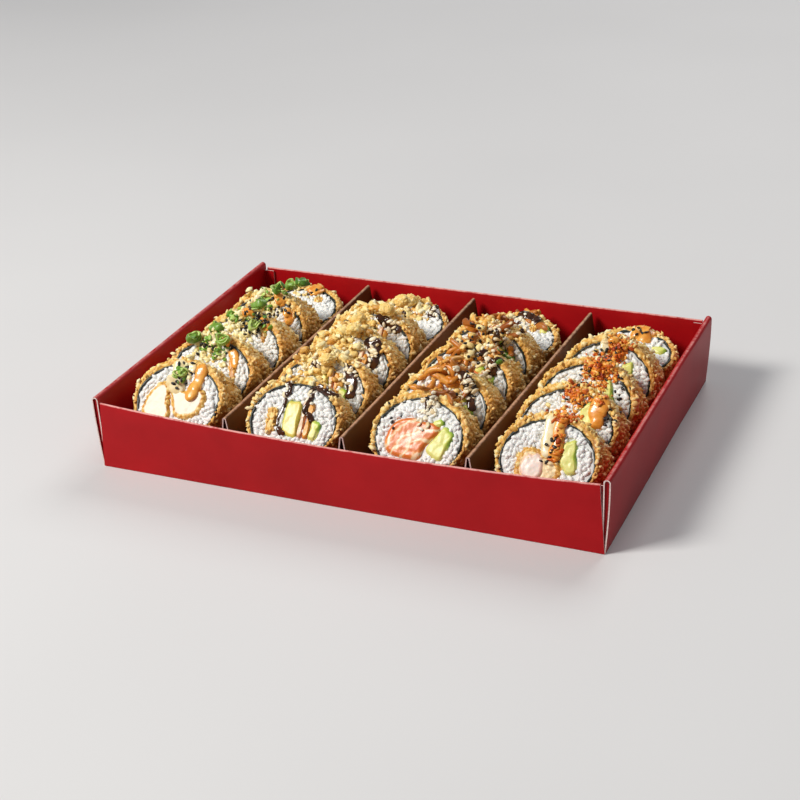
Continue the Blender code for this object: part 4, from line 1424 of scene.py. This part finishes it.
def scallion(name, index, materials):
    """A bit of scallion: an open crumpled ring, a smaller one askew in it and a scrap of leaf beside them."""
    low, high = (np.array(v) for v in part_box(name))
    centre, reach = (low + high) / 2, (high - low) / 2
    tilt, turn, pale = SCALLION_LIES[index]
    shape = Shape()
    parts = (
        (0.0030, 0.0010, 0.0036, 0.9, (0.0, 0.0, 0.0), 0, 0, 1.0),
        (0.0018, 0.0008, 0.0030, 0.4, (0.0004, 0.0002, 0.0004), 34, 50, 0.66),
        (0.0026, 0.0008, 0.0026, 3.4, (-0.0012, 0.0008, -0.0004), -48, 130, 0.92),
    )
    centre = centre - np.array([0, 0, SCALLION_SINK])
    for i, (radius, wall, length, opening, shift, more_tilt, more_turn, fill) in enumerate(parts):
        points, quads, caps, skin = leaf_ring(radius, wall, length, opening, index + 3 * i)
        place = Matrix.Rotation(math.radians(turn + more_turn), 3, "Z")
        place = place @ Matrix.Rotation(math.radians(0.45 * tilt + more_tilt), 3, "X")
        points = points @ np.array(place).T + np.array(shift)
        squeeze = fill * reach / np.abs(points).max(axis=0)
        shade = np.clip(skin * (1 - 0.85 * pale) + 0.12 * value_noise(points + index, 0.0016, 31), 0, 1)
        shape.add(points * squeeze + centre, quads, caps, skin=shade)
    return shape.piece(name + "_slice", materials, slot="scallion", stands_for=[name])


def chunk(name, index, material):
    """A large crunchy chunk: a ball in the CAD node's box with lobes and lumps."""
    low, high = (np.array(v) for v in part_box(name))
    base, faces = ball(72, 46)
    key = base * 0.005 + 0.4 * (index + 1)
    near, second, tag = cell_noise(key, 0.0034, 60 + index)
    lump = ease((second - near) / 0.8) * (0.4 + 0.6 * tag)
    fine = crumb_height(key * 1.3, 80 + index)
    lobes = value_noise(key, 0.0042, 90 + index)
    grow = 0.74 + 0.20 * lump + 0.10 * fine + 0.18 * lobes
    points = (low + high) / 2 + base * np.minimum(grow, 1.03)[:, None] * (high - low) / 2
    shape = Shape()
    # Painted light: crest is higher on the raised lumps, a painted highlight, and smaller in the seams; the
    # toast value rises where the lobes sink in, painted shade in the hollows.
    crest = np.clip(0.45 + 0.35 * lump + 0.30 * (fine - 0.5), 0, 1)
    shape.add(points, triangles=faces, crest=crest, toast=np.clip(0.10 - 0.3 * lobes, 0, 0.5))
    return shape.piece(name + "_lump", [material], slot="crunchy_batter", stands_for=[name])


def build_tray():
    """The tray's walls and base, and the dividers."""
    raw = raw_card_material()
    # The last colour given to each card is its painted highlight along the folds.
    card = [card_material("red_card_satin", colour(0.350, 0.0040, 0.0070), colour(0.450, 0.0065, 0.0100),
                          colour(0.84, 0.42, 0.38)), raw]
    # The divider card's dark brown is painted shade with a painted reflection of the fried crust, on card that
    # is red like the tray.
    inner = [card_material("divider_card_painted_shade", colour(0.085, 0.024, 0.008), colour(0.135, 0.044, 0.013),
                           colour(0.60, 0.34, 0.20)), raw]
    tray_base(card)
    end_wall("tray_front_wall", -1, card)
    end_wall("tray_back_wall", 1, card)
    side_wall("tray_left_wall", -1, card)
    side_wall("tray_right_wall", 1, card)
    for i, name in enumerate(("divider_left", "divider_middle", "divider_right")):
        divider(name, (i - 1) * TRAY_WIDTH / 4, DIVIDER_SHIFTS[i], inner, 41 + i)


def filling_materials():
    """The material of each kind of filling."""
    avocado_stops = [
        (0.00, colour(0.100, 0.260, 0.020)), (0.18, colour(0.400, 0.600, 0.060)),
        (0.45, colour(0.660, 0.720, 0.130)), (0.90, colour(0.800, 0.790, 0.240)),
    ]
    made = {
        "breaded_white": breaded_material("breaded_white", colour(0.900, 0.820, 0.650), 0.78, 0.92),
        "golden_piece": breaded_material("golden_piece", colour(0.860, 0.520, 0.280), 0.70, 0.95),
        "golden_strip": breaded_material("golden_strip", colour(0.900, 0.680, 0.260), 0.90, 1.00),
        "batter": breaded_material("batter", colour(0.930, 0.740, 0.420), 0.95, 1.00),
        "ripe_slab": filling_material("ripe_slab", [
            (0.02, colour(0.400, 0.520, 0.060)), (0.22, colour(0.800, 0.680, 0.130)),
            (0.80, colour(0.900, 0.780, 0.280))], cloud=0.2),
        "pink_strip": filling_material("pink_strip", [
            (0.0, colour(0.720, 0.360, 0.190)), (0.5, colour(0.900, 0.640, 0.420))]),
        "orange_strip": filling_material("orange_strip", [
            (0.0, colour(0.680, 0.240, 0.030)), (0.5, colour(0.880, 0.420, 0.060))]),
        "salmon": salmon_material(),
        "shrimp": filling_material("shrimp", [
            (0.0, colour(0.860, 0.520, 0.360)), (0.6, colour(0.930, 0.800, 0.700))], cloud=0.9, scale=190.0),
    }
    for name in ("avocado", "avocado_wedge", "avocado_slice"):
        made[name] = filling_material(name, avocado_stops)
    return made


def add_flakes(shape, roll, made, form):
    """Loose flat crumbs at points of a roll's crust picked at random, coloured with the browning and painted
    shade of the crust below them.
    """
    base, faces = form
    rng = np.random.default_rng(500 + roll.seed)
    spots = rng.choice(np.nonzero(made["outer"])[0], FLAKES_PER_ROLL, replace=False)
    along, across, up = surface_axes(made["normals"][spots], rng.uniform(0, 2 * np.pi, len(spots)), rng, 0.75)
    half = rng.uniform(0.0004, 0.0012, (len(spots), 1)) * rng.uniform(0.7, 1.3, (len(spots), 3))
    axes = np.stack([along * half[:, :1] * 1.6, across * half[:, 1:2], up * half[:, 2:] * 0.7], axis=1)
    places = made["points"][spots] + up * 0.0001
    points, triangles = rough_copies(base, faces, axes, places, 600 + roll.seed, 0.45)
    points[:, 2] = np.maximum(points[:, 2], BASE_THICKNESS)
    shape.add(points, triangles=triangles, crest=np.repeat(rng.uniform(0.15, 0.85, len(spots)), len(base)),
              toast=np.repeat(made["toast"][spots], len(base)))


def build_rolls():
    """Crusts, rice, seaweed and fillings of all the rolls, and the ground for the toppings."""
    crust, nori, fills = crust_material(), nori_material(), filling_materials()
    rice_bed_painted_shade, rice_grain = (
        marked_material(name, "shade", [(0.0, low), (1.0, high)], roughness, RICE_BUMPS, RICE_SOFTNESS)
        for name, low, high, roughness in RICE_TONES)
    grain_form, flake_form = ball(7, 5), ball(6, 4)
    rolls = [[Roll(row, number) for number in range(ROLLS)] for row in range(ROWS)]
    ground = []
    for row, row_rolls in enumerate(rolls, 1):
        cores, grains, bands, flakes = Shape(), Shape(), Shape(), Shape()
        filled = {}
        for roll in row_rolls:
            made = make_crust(roll)
            shape = Shape()
            shape.add(made["points"], made["quads"], crest=made["crest"], toast=made["toast"])
            shape.piece("crust_%d_%d" % (row, roll.number + 1), [crust], "fried_roll", [roll.name])
            points, quads, caps, lump = drum(roll, RICE_LEVEL)
            # Painted shade: the lump mark makes the rice bed darker in its sunk seams.
            cores.add(points, quads, caps, shade=lump)
            ground.extend([shape.arrays(), drum(roll, RICE_LEVEL - GRAIN_TOP)[:3]])
            outlines = roll_outlines(roll)
            every = [outline for found in outlines.values() for outline in found]
            add_grains(grains, roll, every, *grain_form, -GRAIN_LEVEL)
            if roll.number == LAST - 1:
                add_grains(grains, roll, [], *grain_form, GRAIN_LEVEL - roll.depth)
            bands.add(*nori_ring(roll))
            for kind, found in outlines.items():
                form = (LIFTS.get(kind, 0.0), CRUMBED.get(kind), SKIN_SIDE.get(kind))
                for i, outline in enumerate(found):
                    points, quads, caps, marks = block(roll, outline, 900 + roll.seed + i, *form)
                    filled.setdefault(kind, Shape()).add(points, quads, caps, **marks)
            add_flakes(flakes, roll, made, flake_form)
        cores.piece("rice_core_%d" % row, [rice_bed_painted_shade], "fried_roll")
        grains.piece("rice_grains_%d" % row, [rice_grain], "fried_roll")
        bands.piece("nori_%d" % row, [nori], "fried_roll")
        flakes.piece("crust_flakes_%d" % row, [crust], "fried_roll")
        for kind, shape in filled.items():
            ground.append(shape.arrays())
            shape.piece("filling_%s_%d" % (kind, row), [fills[kind]], "fried_roll")
    return rolls, Ground(ground), crust


# Things strewn over a roll: kind, row, roll numbers, how many on each, (across, spread) and (from, to) along,
# in millimetres. Along runs up the cut face and over the top rim.
STREWN = (
    ("pale_bits", 0, (0,), 46, (-3.0, 3.0), (9, 34), "crumb"),
    ("pale_bits", 0, (1, 2, 3), 150, (-3.5, 5.2), (4, 34), "crumb"),
    ("pale_bits", 0, (4,), 50, (-4.0, 5.0), (8, 30), "crumb"),
    ("bits", 1, (0,), 50, (-3.0, 8.0), (18, 34), "coarse"),
    ("bits", 1, (1, 2, 3), 150, (-5.5, 7.0), (4, 34), "coarse"),
    ("bits", 1, (4,), 120, (-3.0, 7.0), (3, 32), "coarse"),
    ("bits", 2, (1, 2, 3, 4), 60, (-1.0, 7.0), (8, 34), "crumb"),
    ("onion", 2, (0,), 16, (2.0, 6.0), (19, 34), "strip"),
    ("onion", 2, (1,), 34, (-1.0, 6.0), (10, 34), "strip"),
    ("onion", 2, (2, 3), 22, (0.0, 6.0), (9, 34), "strip"),
    ("onion", 2, (4,), 16, (-2.0, 6.0), (10, 30), "strip"),
    ("bits", 3, (1, 2, 3, 4), 34, (2.0, 6.0), (8, 34), "crumb"),
    ("pale_bits", 0, (1, 2, 3), 90, (-3.0, 4.6), (8, 32), "crumb"),
    ("bits", 1, (1, 2, 3, 4), 110, (-4.5, 6.0), (8, 34), "coarse"),
    ("onion", 2, (1, 2, 3), 9, (1.0, 5.0), (12, 34), "strip"),
    ("bits", 2, (2, 3), 30, (-1.0, 6.0), (10, 34), "coarse"),
)

# Things placed where the sight line through a reading meets the food: kind, row, roll number, how many,
# (across, spread) and (upward, spread) in the roll's face plane, in millimetres
SPRINKLED = (
    ("black", 0, 0, 12, (0.0, 3.4), (14.0, 3.4)),
    ("black", 0, 0, 8, (-3.0, 1.8), (11.0, 3.6)),
    ("black", 0, 1, 20, (0.0, 5.0), (13.0, 3.4)),
    ("black", 0, 2, 40, (3.0, 4.6), (13.5, 3.2)),
    ("black", 0, 3, 26, (-3.0, 5.0), (7.5, 4.2)),
    ("black", 0, 3, 12, (6.0, 4.0), (12.0, 3.6)),
    ("black", 0, 4, 5, (0.0, 4.0), (11.0, 3.0)),
    ("white", 1, 0, 7, (-5.9, 1.0), (14.5, 2.6)),
    ("white", 1, 0, 6, (6.0, 1.0), (10.0, 3.6)),
    ("white", 1, 1, 8, (-6.0, 2.0), (12.6, 1.6)),
    ("white", 1, 1, 17, (11.5, 2.6), (9.0, 4.2)),
    ("white", 1, 2, 19, (11.5, 2.2), (8.0, 4.6)),
    ("white", 1, 3, 17, (9.5, 4.0), (11.5, 3.0)),
    ("white", 1, 4, 12, (8.0, 5.0), (10.0, 4.0)),
    ("white", 2, 0, 30, (2.2, 2.0), (13.6, 3.4)),
    ("white", 2, 0, 8, (0.8, 1.5), (5.4, 2.0)),
    ("white", 2, 1, 22, (10.6, 2.0), (11.5, 3.0)),
    ("white", 2, 1, 12, (2.0, 4.0), (18.0, 1.6)),
    ("white", 2, 2, 24, (9.0, 3.0), (11.5, 4.0)),
    ("white", 2, 3, 29, (4.5, 3.2), (12.0, 4.4)),
    ("white", 2, 4, 24, (0.5, 3.6), (9.0, 4.4)),
    ("black", 2, 0, 7, (2.0, 2.0), (15.0, 3.0)),
    ("black", 2, 0, 8, (-14.0, 3.0), (8.0, 4.0)),
    ("black", 2, 1, 8, (9.0, 3.0), (11.0, 4.0)),
    ("black", 2, 2, 10, (4.0, 6.0), (12.0, 4.0)),
    ("black", 2, 3, 16, (-4.0, 6.0), (10.0, 4.0)),
    ("chilli", 3, 0, 90, (4.0, 4.6), (19.2, 1.5)),
    ("chilli", 3, 0, 34, (3.6, 1.4), (9.0, 5.5)),
    ("chilli", 3, 1, 110, (2.6, 3.0), (14.5, 3.2)),
    ("chilli", 3, 1, 26, (13.0, 2.6), (14.0, 3.0)),
    ("chilli", 3, 2, 150, (4.5, 4.2), (13.0, 3.8)),
    ("chilli", 3, 3, 90, (3.4, 2.4), (14.0, 3.6)),
    ("green", 0, 0, 9, (-1.6, 1.6), (10.5, 2.0)),
    ("green", 0, 1, 22, (-6.0, 3.4), (15.0, 2.4)),
    ("green", 0, 1, 14, (4.0, 3.0), (12.0, 2.6)),
    ("green", 0, 2, 20, (8.0, 4.0), (15.0, 2.4)),
    ("green", 0, 2, 12, (-8.0, 3.0), (16.0, 2.4)),
    ("green", 0, 3, 14, (-2.0, 4.0), (14.0, 2.4)),
    ("green", 0, 3, 16, (2.0, 4.0), (20.0, 2.0)),
    ("green", 2, 3, 8, (8.0, 2.0), (6.0, 3.0)),
    ("chilli", 3, 3, 70, (-3.0, 4.6), (5.0, 3.4)),
    ("chilli", 3, 4, 26, (-5.0, 3.4), (4.0, 3.6)),
    ("black", 3, 0, 11, (0.4, 1.6), (6.0, 4.6)),
    ("black", 3, 1, 10, (3.0, 3.4), (14.0, 3.6)),
    ("black", 3, 2, 12, (4.0, 4.6), (12.0, 4.0)),
    ("black", 3, 3, 14, (1.0, 5.0), (10.0, 5.0)),
    ("black", 3, 4, 6, (2.0, 4.0), (15.0, 2.0)),
    ("black", 3, 1, 7, (19.0, 2.4), (6.0, 4.0)),
    ("black", 3, 2, 8, (16.0, 3.0), (5.0, 4.0)),
)
SIZES = {
    "seed": ((2.8, 1.7, 0.9), (3.6, 2.1, 1.2)),
    "dark_seed": ((2.1, 1.4, 0.8), (2.8, 1.7, 1.1)),
    "crumb": ((1.5, 1.1, 0.9), (4.6, 3.1, 2.3)),
    "coarse": ((1.6, 1.2, 1.0), (6.0, 3.8, 2.9)),
    "strip": ((6.0, 2.7, 2.0), (14.0, 3.9, 2.8)),
    "flake": ((1.4, 1.0, 0.4), (4.2, 2.4, 1.0)),
    "leaf": ((1.6, 1.2, 0.5), (4.6, 2.6, 1.2)),
}
PIECE_FORMS = {"black": "dark_seed", "white": "seed", "chilli": "flake", "green": "leaf"}


def topping_materials():
    """Materials of the things strewn and sprinkled over the rolls.

    Each tone has a roughness and colour stops as (place, red, green, blue)."""
    tones = {
        "black": (0.35, (0.0, 0.008, 0.007, 0.007), (1.0, 0.030, 0.024, 0.022)),
        "white": (0.32, (0.0, 0.82, 0.64, 0.36), (0.4, 0.94, 0.83, 0.58), (1.0, 0.98, 0.94, 0.78)),
        "green": (0.38, (0.0, 0.060, 0.170, 0.015), (0.5, 0.220, 0.450, 0.050), (1.0, 0.560, 0.720, 0.200)),
        "chilli": (0.38, (0.0, 0.300, 0.028, 0.004), (0.3, 0.700, 0.130, 0.008), (0.65, 0.860, 0.280, 0.022),
                   (1.0, 0.920, 0.500, 0.090)),
        "onion": (0.34, (0.0, 0.320, 0.080, 0.010), (0.5, 0.700, 0.260, 0.030), (1.0, 0.900, 0.500, 0.110)),
        "bits": (0.42, (0.0, 0.600, 0.270, 0.040), (0.2, 0.880, 0.560, 0.150), (0.6, 0.970, 0.780, 0.330),
                 (1.0, 0.990, 0.910, 0.600)),
        "pale_bits": (0.42, (0.0, 0.720, 0.450, 0.100), (0.25, 0.940, 0.770, 0.330),
                      (1.0, 0.985, 0.930, 0.600)),
    }
    made = {}
    for name, (roughness, *stops) in tones.items():
        stops = [(at, tone) for at, *tone in stops]
        made[name] = marked_material(name, "shade", stops, roughness, BITS_BUMPS)
    return made


def build_toppings(rolls, ground, crust):
    """Sauces, seeds, crumbs, onion, chilli, scallion and chunks, each layer lying on the ones before."""
    forms = {
        **dict.fromkeys(("seed", "dark_seed", "leaf", "crumb"), ball(7, 5)),
        "coarse": ball(9, 6), "strip": bent_strip(6, 9, 0.9), "flake": ball(6, 4),
    }
    rng = np.random.default_rng(77)
    shapes = {}
    for i, (kind, row, numbers, count, across, along, form) in enumerate(STREWN):
        laid = []
        for number in numbers:
            spots = np.column_stack([
                across[0] + across[1] * np.clip(rng.normal(size=count), -2, 2),
                rng.uniform(along[0], along[1], count),
            ])
            found = ground.strewn(rolls[row][number], spots)
            shape = shapes.setdefault(kind, Shape())
            sink, rough, tilt = STRIP_LIE if form == "strip" else BIT_LIE
            laid.append(scatter(shape, found, rng, forms[form], SIZES[form], sink, 170 + i, rough, tilt))
        ground.add(laid)
    pale = glossy_material("pale_mayo", colour(0.88, 0.68, 0.32), colour(0.96, 0.86, 0.58), 0.30)
    mayo = glossy_material("spicy_mayo", colour(0.80, 0.28, 0.030), colour(0.92, 0.46, 0.080), 0.30)
    dark = glossy_material("dark_glaze", colour(0.030, 0.010, 0.005), colour(0.085, 0.028, 0.010), 0.16)
    poured = [
        sauce_piece("sauce_pale", PALE_SAUCE, ground, rolls, pale, 0.34),
        sauce_piece("sauce_spicy", MAYO, ground, rolls, mayo, 0.30),
        sauce_piece("sauce_dark", DARK_SAUCE, ground, rolls, dark, 0.55),
    ]
    ground.add(poured)
    for i, (kind, row, number, count, across, upward) in enumerate(SPRINKLED):
        readings = np.column_stack([
            across[0] + across[1] * np.clip(rng.normal(size=count), -1.8, 1.8),
            upward[0] + upward[1] * np.clip(rng.normal(size=count), -1.8, 1.8),
        ])
        form = PIECE_FORMS[kind]
        found = ground.seen(rolls[row][number], readings)
        rough = 0.5 if form in ("flake", "leaf") else 0.05
        shape = shapes.setdefault(kind, Shape())
        scatter(shape, found, rng, forms[form], SIZES[form], 0.5, 270 + i, rough, 0.45)
    materials = topping_materials()
    for kind, shape in shapes.items():
        shape.piece("strewn_" + kind, [materials[kind]])
    green = marked_material("scallion_green", "skin", LEAF_STOPS, 0.35, LEAF_BUMPS, LEAF_SOFTNESS)
    for i in range(len(SCALLION_LIES)):
        scallion("scallion_%d" % (i + 1), i, [green])
    for i in range(CHUNKS):
        chunk("crunch_%d" % (i + 1), i, crust)


def area_light(name, place, size_m, power, tone):
    """A soft square light turned to the tray."""
    lamp = bpy.data.lights.new(name, "AREA")
    lamp.size = size_m
    lamp.energy = power
    lamp.color = tone
    body = bpy.data.objects.new(name, lamp)
    body.location = place
    body.rotation_euler = (Vector(LIGHT_AIM) - Vector(place)).to_track_quat("-Z", "Y").to_euler()
    bpy.context.scene.collection.objects.link(body)


def build_stage():
    """Floor, lights, sky and camera."""
    material, tree, shader = new_material("pale_floor", 0.55)
    stops = [(0.3, colour(0.66, 0.66, 0.665)), (0.7, colour(0.69, 0.69, 0.695))]
    tree.links.new(ramp(tree, noise(tree, 3.0, 2.0), stops), shader.inputs["Base Color"])
    mesh = bpy.data.meshes.new("floor")
    corner_signs = ((-1, -1), (1, -1), (1, 1), (-1, 1))
    mesh.from_pydata([(x * FLOOR_REACH, y * FLOOR_REACH, 0.0) for x, y in corner_signs], [], [(0, 1, 2, 3)])
    mesh.materials.append(material)
    floor = bpy.data.objects.new("floor", mesh)
    floor.location = (0, 0, -FLOOR_DROP)
    bpy.context.scene.collection.objects.link(floor)
    floor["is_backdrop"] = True
    for name, light in LIGHTS.items():
        area_light(name, *light)
    world = bpy.data.worlds.new("soft_sky")
    world.use_nodes = True
    sky = world.node_tree.nodes["Background"]
    sky.inputs["Color"].default_value = colour(0.86, 0.90, 1.0)
    sky.inputs["Strength"].default_value = SKY_STRENGTH
    bpy.context.scene.world = world
    lens = bpy.data.cameras.new("camera")
    lens.lens = CAMERA_LENS
    lens.sensor_width = 36
    lens.clip_start = 0.01
    camera = bpy.data.objects.new("camera", lens)
    turn = Matrix((EYE_X, EYE_Y, EYE_BACK)).transposed().to_4x4()
    camera.matrix_world = Matrix.Translation(EYE) @ turn
    bpy.context.scene.collection.objects.link(camera)
    bpy.context.scene.camera = camera
    bpy.context.scene.view_settings.view_transform = "Standard"


build_tray()
rolls, ground, crust = build_rolls()
build_toppings(rolls, ground, crust)
build_stage()
